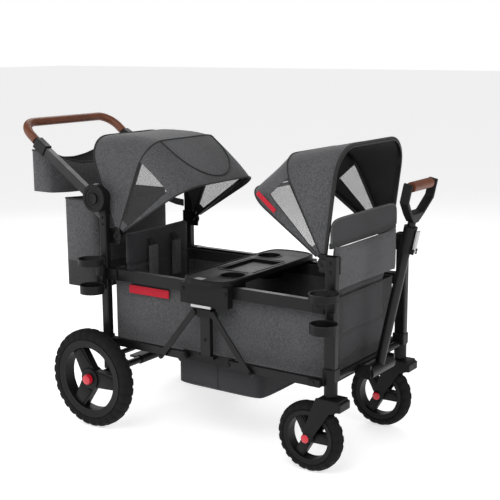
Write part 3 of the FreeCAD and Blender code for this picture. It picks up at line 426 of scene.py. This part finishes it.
def hang(item):
    """Bake a canopy piece's placement into its mesh."""
    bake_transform(item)


for end, (x0, way, (arch, middle, front)) in CANOPIES.items():
    shape = bmesh.new()
    row = [shape.verts.new(on_canopy(end, arch, radius, y)) for radius, y in bow_outline()]
    edges = [shape.edges.new(pair) for pair in zip(row, row[1:])]
    bmesh.ops.spin(shape, geom=row + edges, cent=(x0, 0, PIVOT_Z), axis=(0, 1, 0),
                   angle=math.radians(arch - front) * way, steps=(arch - front) // 2)
    bmesh.ops.recalc_face_normals(shape, faces=shape.faces)
    if sum(face.normal.z for face in shape.faces) < 0:
        bmesh.ops.reverse_faces(shape, faces=shape.faces)
    for face in shape.faces:
        centre = face.calc_center_median()
        flat = Vector((centre.x - x0, 0, centre.z - PIVOT_Z))
        degrees = math.degrees(math.atan2(flat.z, flat.x * way))
        if abs(centre.y) > HALF - 0.004 and front + LIP[end] < degrees < middle and 0.060 < flat.length < 0.268:
            face.material_index = 2
    outer = set(shape.faces)
    relax(shape, end)
    cut_area = sum(face.calc_area() for face in shape.faces)
    bmesh.ops.solidify(shape, geom=shape.faces[:], thickness=0.0014)
    for face in shape.faces:
        if face not in outer and face.material_index == 0:
            face.material_index = 1
    item = piece(end + "_canopy_sheet", shape, [GREY, BLACK_CLOTH, net])
    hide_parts(end + "_canopy_cloth")
    hang(item)

# %% [markdown]
# Seams and bindings are what make a canopy look sewn. Each is a thin round cord laid along the
# cloth, just proud of it.

# %% Canopy seams
def along_bow(end, degrees, proud):
    """Points of a seam that runs over the canopy at one angle, lying on the slack cloth."""
    return [on_canopy(end, degrees, radius - slack(end, degrees, radius), y * (1 + proud), proud)
            for radius, y in bow_outline()]


for end, (_, _, (arch, middle, front)) in CANOPIES.items():
    shape = bmesh.new()
    add_tube(shape, along_bow(end, arch, 0.0012), 0.0042 if end == "front" else 0.0030)
    add_tube(shape, along_bow(end, middle, 0.0006), 0.0019)
    add_tube(shape, along_bow(end, front, 0.0008), 0.0026)
    hem = front + LIP[end]
    for side in (-1, 1):
        for angle in (middle - 0.8, hem):
            reach = [on_canopy(end, angle, radius, side * (HALF + 0.0006)) for radius in (0.035, 0.12, 0.2, 0.262)]
            add_tube(shape, reach, 0.0013)
    item = piece(end + "_canopy_seams", shape, [BLACK_CLOTH])
    hang(item)

# The visor flap of the rear canopy: a rounded panel whose edge is bound.
flap = bmesh.new()
edge = []
for step in range(25):
    turn = math.pi * step / 24
    degrees = 67 - 31 * math.sin(turn) ** 0.8
    edge.append(on_canopy("rear", degrees, REACH - slack("rear", degrees, REACH), -0.135 * math.cos(turn), 0.0012))
add_tube(flap, edge, 0.0022)
item = piece("rear_visor_flap_edge", flap, [BLACK_CLOTH])
hang(item)
print("seams laid")

# %% [markdown]
# A bag or tub is a box of cloth with rounded corners. We cut its walls into rows and columns with
# bisect planes, which leaves clean grid lines, and then let the walls belly and the rim sag.

# %% Pouch helper
def grid_cuts(shape, low, high, step):
    """Bisect a shape every step along each axis, so that it has points to bend at."""
    for axis in range(3):
        count = max(1, round((high[axis] - low[axis]) / step))
        normal = Vector((axis == 0, axis == 1, axis == 2))
        for k in range(1, count):
            at = Vector(low) + normal * (high[axis] - low[axis]) * k / count
            bmesh.ops.bisect_plane(shape, geom=shape.verts[:] + shape.edges[:] + shape.faces[:], plane_co=at,
                                   plane_no=normal)


def pouch(low, high, corner, step=0.03, belly=0.008, sag=0.0, creases=0.002, bottom=True, axes=(1, 1)):
    """A cloth box, open on top, with bellied walls, a sagging rim and creases."""
    shape = bmesh.new()
    low, high = Vector(low), Vector(high)
    size = high - low
    block(shape, low, high)
    upright = [edge for edge in shape.edges if abs((edge.verts[0].co - edge.verts[1].co).z) > 1e-6]
    bmesh.ops.bevel(shape, geom=upright, offset=corner, segments=4, profile=0.5, affect="EDGES", material=-1)
    ends = [face for face in shape.faces if abs(face.normal.z) > 0.9 and (face.normal.z > 0 or not bottom)]
    bmesh.ops.delete(shape, geom=ends, context="FACES")
    grid_cuts(shape, low, high, step)
    for vert in shape.verts:
        share = [(vert.co[k] - low[k]) / size[k] for k in range(3)]
        swell = [math.sin(math.pi * min(1, max(0, part))) for part in share]
        side_x = 1 if share[0] > 0.5 else -1
        side_y = 1 if share[1] > 0.5 else -1
        fold = noise.noise(Vector((vert.co.x * 9, vert.co.y * 9, vert.co.z * 4))) * creases
        fold += noise.noise(vert.co * 31) * creases * 0.35
        if min(share[0], 1 - share[0]) * size.x < 0.001:
            vert.co.x += side_x * axes[0] * (belly * swell[1] * swell[2] + fold * swell[1])
        if min(share[1], 1 - share[1]) * size.y < 0.001:
            vert.co.y += side_y * axes[1] * (belly * swell[0] * swell[2] + fold * swell[0])
        vert.co.z -= sag * swell[1] * max(0.0, share[2]) ** 2
        if bottom:
            vert.co.z += (1 - share[2]) * (-0.5 * belly * swell[0] * swell[1])
    return shape


def rim_of(shape, level=None):
    """The points of an open rim, in order round the loop that stands highest."""
    rim = [edge for edge in shape.edges if len(edge.link_faces) == 1]
    if level is not None:
        rim = [edge for edge in rim if abs(edge.verts[0].co.z - level) < 0.02]
    left, here = set(rim[1:]), rim[0].verts[1]
    points = [rim[0].verts[0].co.copy(), here.co.copy()]
    while left:
        following = next((edge for edge in here.link_edges if edge in left), None)
        if following is None:
            break
        left.discard(following)
        here = following.other_vert(here)
        points.append(here.co.copy())
    return points[:-1]


def bind(shape, points, radius, closed=True):
    """Add a binding cord along points and return its new faces."""
    before = set(shape.faces)
    add_tube(shape, points, radius, closed=closed, sides=2)
    return [face for face in shape.faces if face not in before]


def sew(name, shape, finishes, paint, body, rims=(), radius=0.0025, wall=0.0016):
    """Colour a pouch by place, give it a wall, and bind its rims with the last finish."""
    for face in shape.faces:
        face.material_index = paint(face.calc_center_median(), face.normal)
    bmesh.ops.solidify(shape, geom=shape.faces[:], thickness=wall)
    for points in rims:
        for face in bind(shape, points, radius):
            face.material_index = len(finishes) - 1
    return piece(name, shape, finishes, body, angle=60)

# %% [markdown]
# The tub's walls hang between the rails and belly a little between the posts. The long sides are
# grey, with a black band along the top, and the two ends are black.

# %% Tub
tub_low, tub_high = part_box("tub_walls")
shape = pouch(tub_low + Vector((0.001, 0.002, 0)), tub_high - Vector((0.001, 0.002, 0)), 0.012, step=0.036,
              belly=0.009, creases=0.0085, bottom=False, axes=(-0.5, 1))
for vert in shape.verts:
    near_post = math.exp(-((vert.co.x - MIDDLE) / 0.03) ** 2)
    if abs(vert.co.y) > 0.18:
        vert.co.y = math.copysign(min(abs(vert.co.y) - 0.008 * near_post, 0.2125), vert.co.y)
tub = sew("tub_cloth", shape, [GREY, BLACK_CLOTH],
          lambda at, way: 0 if abs(at.y) > 0.19 and at.z < 0.488 and abs(way.y) > 0.5 else 1,
          "rear_frame", rims=[rim_of(shape, tub_high.z)])
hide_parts("tub_walls")


def folds(item):
    """Give a soft piece its own copy of its mesh."""
    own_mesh(item)


folds(tub)
print("tub", len(tub.data.polygons), "faces")

# %% [markdown]
# The footwell is a deep pocket let into the floor, bound along its edges and with one seam across.

# %% Footwell and floor
floor_low, floor_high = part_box("tub_floor")
well_low = Vector((REAR_POST + 0.265, -0.189, floor_low.z + 0.003))
well_high = Vector((REAR_POST + 0.590, 0.189, 0.262))
shape = pouch(well_low, well_high, 0.02, step=0.032, belly=0.006, creases=0.004)
x0, x1, y0, y1, cut = well_low.x, well_high.x, well_low.y, well_high.y, 0.02
bottom = [Vector((x, y, well_low.z - 0.0005)) for x, y in
          ((x0 + cut, y0), (x0, y0 + cut), (x0, 0), (x0, y1 - cut), (x0 + cut, y1), (MIDDLE, y1),
           (x1 - cut, y1), (x1, y1 - cut), (x1, 0), (x1, y0 + cut), (x1 - cut, y0), (MIDDLE, y0))]
for x0, x1 in ((floor_low.x + 0.001, well_low.x), (well_high.x, floor_high.x - 0.001)):
    soft_box(shape, (x0, floor_low.y + 0.002, 0.2592), (x1, floor_high.y - 0.002, 0.2618), 0.001, 1)
for side in (-1, 1):
    y = side * 0.1915
    bottom_seam = [Vector((MIDDLE, y + side * 0.004, z)) for z in (0.172, 0.2, 0.23, 0.258)]
    bind(shape, bottom_seam, 0.0016, closed=False)
well = sew("footwell_cloth", shape, [DARK_LINING, GREY], lambda at, way: 0, "rear_frame",
           rims=[bottom], radius=0.0028)
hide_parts("tub_floor")
folds(well)

# %% [markdown]
# Each seat pad is a real cushion: a box that is inflated by a short cloth simulation, so it
# crowns in the middle and its sides pull in. The simulation swells it, so it starts smaller, and
# no point may move further than a cap. Sewn channels are pressed in afterwards.

# %% Cushion helper
PRESSURE, PUFF_FRAMES = 4.0, 20


def settle(item):
    """Replace an object's mesh by what its modifiers make of it."""
    made = bpy.data.meshes.new_from_object(item.evaluated_get(bpy.context.evaluated_depsgraph_get()))
    item.modifiers.clear()
    item.data = made


def cushion(name, low, high, cap, channels=(), voxel=0.006, skin=DARK_LINING, rounding=0.010):
    """Inflate a soft box into a padded piece and press sewn channels into it."""
    shape = bmesh.new()
    soft_box(shape, low, high, rounding)
    item = piece(name, shape, [skin])
    remesh = item.modifiers.new("even_mesh", "REMESH")
    remesh.mode = "VOXEL"
    remesh.voxel_size = voxel
    settle(item)
    rest = [vert.co.copy() for vert in item.data.vertices]
    puff = item.modifiers.new("puff", "CLOTH")
    puff.settings.use_pressure = True
    puff.settings.uniform_pressure_force = PRESSURE
    puff.settings.effector_weights.gravity = 0
    for number in range(1, PUFF_FRAMES + 1):
        bpy.context.scene.frame_set(number)
    settle(item)
    bpy.context.scene.frame_set(1)
    for vert, start in zip(item.data.vertices, rest):
        moved = vert.co - start
        if moved.length > cap:
            vert.co = start + moved * (cap / moved.length)
    smooth = item.modifiers.new("smooth", "SUBSURF")
    smooth.levels = smooth.render_levels = 1
    settle(item)
    outward = [vert.normal.copy() for vert in item.data.vertices]
    for vert, normal in zip(item.data.vertices, outward):
        press = noise.noise(vert.co * 14) * -0.0016
        for axis, at, depth, width in channels:
            press += depth * math.exp(-(((vert.co[axis] - at) / width) ** 2))
        vert.co -= normal * press
    item.data.shade_smooth()
    return item

# %% [markdown]
# Both ends get a backrest with two channels across and a seat cushion with two along. The frame
# holds one block for both, so the backrest is the piece that takes its place.

# %% Seat pads
for end, way in (("rear", 1), ("front", -1)):
    low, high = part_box(end + "_seat_pad")
    wall = low.x if way > 0 else high.x
    back = sorted((wall + way * 0.004, wall + way * 0.027))
    base = sorted((wall + way * 0.036, wall + way * 0.225))
    made = [cushion(end + "_backrest", (back[0], -0.164, 0.302), (back[1], 0.164, high.z - 0.006), 0.006,
                    channels=[(2, 0.40, 0.004, 0.006), (2, 0.52, 0.004, 0.006)]),
            cushion(end + "_seat_cushion", (base[0], -0.178, 0.2665), (base[1], 0.178, 0.291), 0.007,
                    channels=[(1, -0.06, 0.003, 0.006), (1, 0.06, 0.003, 0.006)])]
    for item in made:
        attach(item, "rear_frame")
        folds(item)
    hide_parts(end + "_seat_pad")
    print(end, "pads", [len(item.data.polygons) for item in made])

# %% [markdown]
# A harness hangs on each backrest: two padded shoulder pieces, flat webbing down to a buckle, and
# a crotch strap. Webbing is a ribbon extruded point by point, because a simulation would lose it.

# %% Harness
def ribbon(shape, points, across, width, thick=0.0022):
    """A flat strap through points, with its width along one direction."""
    side = Vector(across).normalized() * width / 2
    pair = [shape.verts.new(Vector(points[0]) + side * k) for k in (-1, 1)]
    edge = shape.edges.new(pair)
    before = set(shape.faces)
    for start, end in zip(points, points[1:]):
        step = bmesh.ops.extrude_edge_only(shape, edges=[edge])["geom"]
        bmesh.ops.translate(shape, vec=Vector(end) - Vector(start),
                            verts=[item for item in step if isinstance(item, bmesh.types.BMVert)])
        edge = next(item for item in step if isinstance(item, bmesh.types.BMEdge)
                    and all(vert in step for vert in item.verts))
    made = [face for face in shape.faces if face not in before]
    bmesh.ops.solidify(shape, geom=made, thickness=thick)


for end, way in (("rear", 1), ("front", -1)):
    low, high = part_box(end + "_seat_pad")
    face = (low.x if way > 0 else high.x) + way * 0.037
    shape = bmesh.new()
    lap = (face + way * 0.085, 0.0, 0.335)
    for side in (-1, 1):
        y = side * 0.062
        ribbon(shape, [(face - way * 0.004, y, 0.60), (face + way * 0.012, y, 0.585), (face + way * 0.015, y, 0.50),
                       (face + way * 0.018, y, 0.44), (face + way * 0.05, y * 0.5, 0.38),
                       (lap[0], y * 0.18, lap[2] + 0.01)],
               (0, 1, 0), 0.026)
        ribbon(shape, [(face + way * 0.004, side * 0.15, 0.315), (face + way * 0.04, side * 0.10, 0.326),
                       (lap[0], side * 0.02, lap[2])], (0, 0.25, 1), 0.024)
    ribbon(shape, [(lap[0], 0, lap[2] - 0.01), (lap[0] + way * 0.02, 0, 0.312), (lap[0] + way * 0.04, 0, 0.299)],
           (0, 1, 0), 0.030)
    straps = piece(end + "_harness_webbing", shape, [WEBBING], "rear_frame", angle=50)
    shape = bmesh.new()
    soft_box(shape, (lap[0] - 0.011, -0.026, lap[2] - 0.024), (lap[0] + 0.011, 0.026, lap[2] + 0.022), 0.006)
    turned(shape, [(0, 0.0135), (0.010, 0.0135), (0.012, 0.011), (0.012, 0.008)] if way > 0 else
           [(0.012, -0.008), (0.012, -0.011), (0.010, -0.0135), (0, -0.0135)], lap, "X", 24)
    buckle = piece(end + "_harness_buckle", shape, [PLASTIC], "rear_frame")
    thin, thick = sorted((face + way * 0.006, face + way * 0.018))
    pads = [cushion(f"{end}_shoulder_pad_{label}", (thin, side * 0.062 - 0.022, 0.452),
                    (thick, side * 0.062 + 0.022, 0.578), 0.005, voxel=0.004, skin=GREY, rounding=0.004)
            for label, side in (("right", -1), ("left", 1))]
    for item in pads:
        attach(item, "rear_frame")
    for item in [straps, buckle, *pads]:
        folds(item)
print("harnesses fitted")

# %% [markdown]
# Two bags hang at the back. The deep one is grey over a black band; the small organiser hangs
# between the handle's arms, so its rim sags in the middle.

# %% Bags
bag_low = Vector((REAR_POST - 0.219, -0.188, 0.430))
bag_high = Vector((REAR_POST - 0.071, 0.188, 0.731))
shape = pouch(bag_low, bag_high, 0.016, step=0.03, belly=0.010, sag=0.010, creases=0.006)
rim = rim_of(shape)
for side in (-1, 1):
    ribbon(shape, [(bag_high.x - 0.01, side * 0.186, 0.70), (REAR_POST - 0.04, side * 0.200, 0.685),
                   (REAR_POST - 0.012, side * 0.209, 0.680)], (0, 0, 1), 0.024)
store = sew("storage_bag_cloth", shape, [GREY, BLACK_CLOTH], lambda at, way: 1 if at.z < 0.515 else 0, "rear_frame",
            rims=[rim], radius=0.0028)
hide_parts("storage_bag")
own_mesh(store)

bag_low, bag_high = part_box("organiser_bag")
shape = pouch(bag_low + Vector((0.003, 0.002, 0.006)), bag_high - Vector((0.003, 0.002, 0)), 0.014, step=0.027,
              belly=0.008, sag=0.042, creases=0.006)
for vert in shape.verts:
    vert.co.z -= 0.012 * (1 - (vert.co.y / 0.205) ** 2) * max(0, (vert.co.x - bag_low.x) / 0.09)
bag = sew("organiser_cloth", shape, [GREY, BLACK_CLOTH], lambda at, way: 0, "push_handle",
          rims=[rim_of(shape)], radius=0.0030)
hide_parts("organiser_bag")
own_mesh(bag)
print("bags", len(store.data.polygons), len(bag.data.polygons))

# %% [markdown]
# The outer end of the front seat is covered by a padded grey panel. Above it a short dark
# flap with rounded corners can be rolled up to open the canopy's end, and a black zip runs under it.

# %% Front end panel and flap
end_x = FRONT_POST - 0.019
panel = cushion("front_end_panel", (end_x + 0.002, -0.199, 0.536), (end_x + 0.011, 0.199, 0.676), 0.006,
                voxel=0.005, skin=GREY, rounding=0.0035)
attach(panel, "front_frame")


def rounded_plate(shape, low, high, axis, corner, keep=lambda at: True):
    """A thin plate whose corners are rounded in its own plane."""
    low, high = Vector(low), Vector(high)
    edges = block(shape, low, high)
    span = [edge for edge in edges if abs((edge.verts[0].co - edge.verts[1].co)[axis]) > (high - low)[axis] * 0.99
            and keep((edge.verts[0].co + edge.verts[1].co) / 2)]
    bmesh.ops.bevel(shape, geom=span, offset=corner, segments=6, profile=0.5, affect="EDGES", material=-1)


shape = bmesh.new()
rounded_plate(shape, (end_x, -0.204, 0.683), (end_x + 0.002, 0.204, 0.752), 0, 0.042, lambda at: at.z > 0.7)
grid_cuts(shape, (end_x, -0.204, 0.683), (end_x + 1e-6, 0.204, 0.752), 0.03)
for vert in shape.verts:
    vert.co.x += 0.003 * math.sin(math.pi * (vert.co.y / 0.392 + 0.5)) + noise.noise(vert.co * 13) * 0.002
corner = [(-0.204, 0.685), (-0.204, 0.72), (-0.200, 0.742), (-0.173, 0.753), (-0.08, 0.753), (0.08, 0.753),
          (0.173, 0.753), (0.200, 0.742), (0.204, 0.72), (0.204, 0.685)]
for face in bind(shape, [Vector((end_x + 0.0030, y, z)) for y, z in corner], 0.0032, closed=False):
    face.material_index = 1
piece("front_vent_flap", shape, [DARK_LINING, GREY], "front_frame")
shape = bmesh.new()
rounded_plate(shape, (end_x - 0.003, -0.205, 0.670), (end_x + 0.0035, 0.205, 0.686), 0, 0.002)
piece("front_flap_zip", shape, [BLACK_CLOTH], "front_frame")

# %% [markdown]
# Plain red woven tags mark the side panel and the front canopy. They carry no words.

# %% Red tags
shape = bmesh.new()
rounded_plate(shape, (-0.232, -0.2165, 0.447), (-0.068, -0.2135, 0.474), 1, 0.003)
tag = piece("side_tag", shape, [RED_TAG], "rear_frame")
folds(tag)
shape = bmesh.new()
ribbon(shape, [on_canopy("front", 39.5, radius, -HALF - 0.0016) for radius in (0.214, 0.24, 0.268, 0.294)],
       on_canopy("front", 39.5 + 90, 1, 0) - on_canopy("front", 39.5 + 90, 0, 0), 0.014, 0.0016)
tag = piece("canopy_tag", shape, [RED_TAG])
hang(tag)

# %% [markdown]
# Tyres are turned, and then their shoulders are pressed in and out in a wave, like the tread
# of a foam tyre. The rims keep the frame's shape, with a turned lip, ribbed spokes and a hub ring.

# %% Tyres
WHEELS = [(f"rear_{side}", f"{side}_rear_wheel", (REAR_POST, way * 0.306, 0.165), 0.165, 0.132, 0.048, 30, way)
          for side, way in (("right", -1), ("left", 1))]
WHEELS += [(f"front_{side}", f"{side}_front_wheel", (FRONT_POST - 0.066, way * 0.225, 0.108), 0.108, 0.084, 0.044, 22,
            way) for side, way in (("right", -1), ("left", 1))]
for label, body, centre, outer, inner, wide, lobes, way in WHEELS:
    half = wide / 2
    shape = bmesh.new()
    wall = [(inner, half - 0.004), (inner + 0.003, half - 0.001), (outer - 0.018, half),
            (outer - 0.009, half - 0.002), (outer - 0.003, half - 0.009), (outer - 0.0006, half - 0.015),
            (outer - 0.0004, 0.004), (outer - 0.0022, 0.0025)]
    profile = [(radius, -y) for radius, y in wall] + wall[::-1] + [(inner, -half + 0.004)]
    turned(shape, profile, centre, "Y", lobes * 8)
    for vert in shape.verts:
        flat = Vector((vert.co.x - centre[0], 0, vert.co.z - centre[2]))
        side = vert.co.y - centre[1]
        if flat.length > outer - 0.0195 and abs(side) > 0.005:
            turn = math.atan2(flat.z, flat.x)
            wave = math.sin(lobes * turn + (math.pi if side > 0 else 0))
            press = 0.0026 * max(0.0, min(1.0, wave * 2.2)) * min(1.0, (abs(side) - 0.003) / 0.010)
            vert.co -= flat.normalized() * press
            vert.co.y -= math.copysign(press * 0.6, side)
    tyre = piece(label + "_foam_tyre", shape, [RUBBER], body, angle=35)
    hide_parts(label + "_tyre")
    print(tyre.name, len(tyre.data.polygons))

# %% [markdown]
# Each rim gets a turned lip on both faces, a hub ring and three broad ribs laid over its spokes.
# The red caps close the axles: on the rims at the rear, and on the casters at the front.

# %% Rim details and red caps
for label, body, centre, outer, inner, wide, lobes, way in WHEELS:
    rear = label.startswith("rear")
    band = 0.026 if rear else 0.016
    skin = ((wide - 0.006) * 0.3) + 0.0002
    shape = bmesh.new()
    for side in (-1, 1):
        lip = wide / 2 - 0.003
        turned(shape, [(inner - 0.0004, side * (lip - 0.001)), (inner - 0.002, side * (lip + 0.0022)),
                       (inner - band * 0.45, side * (lip + 0.0014)), (inner - band + 0.001, side * (lip - 0.0005)),
                       (inner - band + 0.0015, side * (lip - 0.003)), (inner - 0.0004, side * (lip - 0.001))],
               centre, "Y", 72)
        hub = 0.034 if rear else 0.019
        turned(shape, [(hub * 0.55, side * (skin + 0.0062)), (hub * 0.8, side * (skin + 0.0078)),
                       (hub * 0.97, side * (skin + 0.0060)), (hub * 1.02, side * (skin - 0.001)),
                       (hub * 0.55, side * (skin - 0.001)), (hub * 0.55, side * (skin + 0.0062))], centre, "Y", 48)
        for third in range(3):
            far, near = inner - band - 0.001, hub * 1.05
            before = set(shape.verts)
            broad = 0.019 if rear else 0.012
            soft_box(shape, (-broad, 0, near), (broad, 0.0036, far), 0.0016, 2)
            made = [vert for vert in shape.verts if vert not in before]
            for vert in made:
                vert.co.x *= 1.35 - 0.62 * (vert.co.z - near) / (far - near)
                vert.co.y = side * (vert.co.y + skin - 0.001)
            if side < 0:
                bmesh.ops.reverse_faces(shape, faces=list({face for vert in made for face in vert.link_faces}))
            bmesh.ops.rotate(shape, verts=made, cent=(0, 0, 0),
                             matrix=Matrix.Rotation(math.radians(120 * third + 90), 3, "Y"))
            bmesh.ops.translate(shape, verts=made, vec=centre)
    piece(label + "_rim_trim", shape, [PLASTIC], body, angle=35)
    cap = bmesh.new()
    if rear:
        start = 0.0344 * way
        turned(cap, [(0, start + way * 0.0014), (0.009, start + way * 0.0012), (0.0145, start + way * 0.0005),
                     (0.0171, start - way * 0.001), (0.0174, start - way * 0.0122), (0.0167, start - way * 0.0122)],
               centre, "Y", 40)
        piece(label + "_red_cap", cap, [RED_CAP], body)
    else:
        for side in (-1, 1):
            start = 0.0368 * side
            turned(cap, [(0, start + side * 0.0012), (0.007, start + side * 0.0010), (0.0118, start),
                         (0.0128, start - side * 0.001), (0.0128, start - side * 0.004)], centre, "Y", 36)
        piece(label + "_red_caps", cap, [RED_CAP], label.split("_")[1] + "_caster")

# %% [markdown]
# Small turned pieces carry a lot of the look: rivet heads on each pivot, the canopy's round
# knobs, the rings of the handle hinges, and the beads of the cup holders.

# %% Rivets, knobs and rings
FLUSH_Y = 0.2395
# For each body: x, y, z and radius of a head; each one has a twin on the other side.
HEADS = {
    "rear_frame": [(-0.280, FLUSH_Y, 0.505, 0.0075), (-0.280, 0.2630, 0.285, 0.0065), (-0.285, 0.2112, 0.628, 0.0190),
                   (-0.322, 0.2382, 0.690, 0.0045), (-0.322, 0.2382, 0.668, 0.0045)],
    "front_frame": [(0.491, FLUSH_Y, 0.505, 0.0075), (0.491, 0.2630, 0.285, 0.0065), (0.496, 0.2112, 0.628, 0.0190),
                    (0.533, 0.2382, 0.636, 0.0050), (0.533, 0.2382, 0.610, 0.0050), (0.533, 0.2415, 0.315, 0.0045)],
    "centre_frame": [(0.0255, 0.2622, 0.505, 0.006), (0.1855, 0.2622, 0.505, 0.006), (0.1055, 0.2582, 0.35, 0.005)],
    "rear_braces": [(-0.0645, 0.2688, 0.272, 0.0062)], "front_braces": [(0.2755, 0.2688, 0.272, 0.0062)],
}
for body, spots in HEADS.items():
    shape = bmesh.new()
    for x, y, z, radius in spots:
        # The low rails fold up past the upper pivots, so the heads there stay nearly flush.
        rise = 0.0009 if y == FLUSH_Y else 0.0030
        for side in (-1, 1):
            turned(shape, [(0, side * rise * 0.73), (radius * 0.34, side * rise * 0.73), (radius * 0.40, side * rise),
                           (radius * 0.80, side * rise * 0.9), (radius, side * rise * 0.4), (radius, 0)],
                   (x, side * y, z), "Y", 20)
    piece(body + "_rivet_heads", shape, [PAINT if body != "centre_frame" else PLASTIC], body)

shape = bmesh.new()
for side in (-1, 1):
    for inner, outer, height in ((0.022, 0.029, 0.0014), (0.034, 0.0455, 0.0020)):
        turned(shape, [(inner, 0), (inner + 0.001, side * height), (outer - 0.002, side * height), (outer, 0),
                       (inner, 0)], (-0.335, side * 0.2625, 0.755), "Y", 64)
piece("hinge_rings", shape, [PLASTIC], "push_handle", angle=35)
for side, label in ((-1, "right"), (1, "left")):
    shape = bmesh.new()
    turned(shape, [(0, side * 0.0010), (0.012, side * 0.0012), (0.0165, side * 0.0022), (0.0178, side * 0.0008),
                   (0.0178, -side * 0.002)], (-0.335, side * 0.2665, 0.755), "Y", 48)
    piece(label + "_button_face", shape, [PLASTIC], label + "_handle_button")

for end, body, x in (("rear", "rear_frame", REAR_POST), ("front", "front_frame", FRONT_POST + 0.014)):
    shape = bmesh.new()
    for level, radius in ((0.563, 0.0430), (0.545, 0.0430), (0.476, 0.0400)):
        turned(shape, [(radius - 0.0042, 0), (radius - 0.0030, 0.0016), (radius + 0.0006, 0.0016),
                       (radius + 0.0012, 0), (radius + 0.0006, -0.0016), (radius - 0.0042, 0)],
               (x, -0.295, level), "Z", 56)
    soft_box(shape, (x - 0.0165, -0.262, 0.500), (x + 0.0165, -0.2395, 0.548), 0.005)
    soft_box(shape, (x - 0.010, -0.2645, 0.508), (x + 0.010, -0.2600, 0.540), 0.0018)
    piece(end + "_cup_holder_trim", shape, [PLASTIC], body, angle=35)
print("hardware fitted")

# %% [markdown]
# The tray gets what a mould would give it: a raised bead round its edge, lips round both wells,
# ribs beside the dish, and a grey tab that releases it.

# %% Tray details
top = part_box("tray")[1].z
shape = bmesh.new()
bead = [Vector((MIDDLE + x * 0.0865, y * 0.2705, top + 0.0006)) for x, y in
        ((-0.35, -1), (0.35, -1), (0.85, -0.955), (1, -0.80), (1, -0.4), (1, 0.4), (1, 0.80), (0.85, 0.955),
         (0.35, 1), (-0.35, 1), (-0.85, 0.955), (-1, 0.80), (-1, 0.4), (-1, -0.4), (-1, -0.80), (-0.85, -0.955))]
add_tube(shape, bead, 0.0024, closed=True)
for x, y in ((MIDDLE + 0.036, -0.158), (MIDDLE - 0.036, 0.158)):
    turned(shape, [(0.0392, -0.001), (0.0400, 0.0018), (0.0440, 0.0020), (0.0462, 0), (0.0392, -0.001)],
           (x, y, top), "Z", 56)
for y in (-0.104, 0.104):
    soft_box(shape, (MIDDLE - 0.058, y - 0.003, top - 0.001), (MIDDLE + 0.058, y + 0.003, top + 0.0018), 0.0012, 2)
for x in (-0.068, 0.068):
    soft_box(shape, (MIDDLE + x - 0.003, -0.092, top - 0.001), (MIDDLE + x + 0.003, 0.092, top + 0.0018), 0.0012, 2)
piece("tray_beads", shape, [PLASTIC], "tray", angle=35)
shape = bmesh.new()
soft_box(shape, (0.070, -0.266, top - 0.001), (0.100, -0.240, top + 0.0026), 0.0018)
piece("tray_release_tab", shape, [TAB_GREY], "tray")

# %% [markdown]
# Leather sleeves are closed with a row of stitches. Each stitch is one tiny cone laid along the
# seam, and a few faces are enough for it.

# %% Leather stitching
def stitches(shape, points, pitch=0.0055):
    """Lay short stitches along a line of points."""
    for start, end in zip(points, points[1:]):
        start, end = Vector(start), Vector(end)
        along = (end - start)
        for k in range(max(1, int(along.length / pitch))):
            at = start + along.normalized() * pitch * (k + 0.5)
            turn = along.to_track_quat("Z", "Y").to_matrix().to_4x4()
            bmesh.ops.create_cone(shape, cap_ends=True, segments=5, radius1=0.0007, radius2=0.0005,
                                  depth=pitch * 0.62, matrix=Matrix.Translation(at) @ turn)


rise = Vector((-math.cos(math.radians(38)), 0, math.sin(math.radians(38))))
loop_start = Vector((-0.610, 0, 0.914))
seam = []
for side in (-1, 1):
    half = [loop_start + rise * reach + Vector((0, side * (0.222 - 0.0152), 0)) for reach in (0.012, 0.030, 0.045)]
    for step in range(1, 6):
        turn = math.radians(18 * step)
        half.append(loop_start + rise * (0.046 + 0.0468 * math.sin(turn))
                    + Vector((0, side * (0.160 + 0.0468 * math.cos(turn)), 0)))
    seam.append(half)
shape = bmesh.new()
stitches(shape, seam[0] + list(reversed(seam[1])))
piece("push_grip_stitches", shape, [BLACK_CLOTH], "push_handle")
lean = math.radians(12)
grip = Vector((0.572 + 0.5645 * math.sin(lean), 0, 0.277 + 0.5645 * math.cos(lean)))
shape = bmesh.new()
stitches(shape, [grip + Vector((0, y, 0)) for y in (-0.058, -0.02, 0.02, 0.058)])
piece("pull_grip_stitches", shape, [BLACK_CLOTH], "pull_handle_top")

# %% [markdown]
# The caster forks and the D grip are moulded, so their edges are round all over. We copy the frame's
# mesh, merge its loose triangles, remesh it finely and relax it, which rounds every edge alike.

# %% Moulded copies
def moulded(node, finish_used, body, voxel=0.0018, passes=7):
    """A rounded copy of a frame piece that stands for it."""
    shape = bmesh.new()
    shape.from_mesh(frame["nodes"][node].data)
    bmesh.ops.remove_doubles(shape, verts=shape.verts, dist=1e-6)
    item = piece(node + "_moulded", shape, [finish_used])
    remesh = item.modifiers.new("even_mesh", "REMESH")
    remesh.mode = "VOXEL"
    remesh.voxel_size = voxel
    relaxed = item.modifiers.new("relax", "SMOOTH")
    relaxed.factor = 0.5
    relaxed.iterations = passes
    settle(item)
    item.data.shade_smooth()
    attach(item, body)
    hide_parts(node)
    print(item.name, len(item.data.polygons), "faces")
    return item


for side in ("right", "left"):
    moulded(side + "_caster_fork", PLASTIC, side + "_caster")
moulded("pull_d_frame", PLASTIC, "pull_handle_top", voxel=0.0016)
moulded("caster_housings", PLASTIC, "front_frame", voxel=0.002, passes=4)
moulded("handle_clamps", PLASTIC, "push_handle", voxel=0.0016, passes=6)
print("casters shaped")
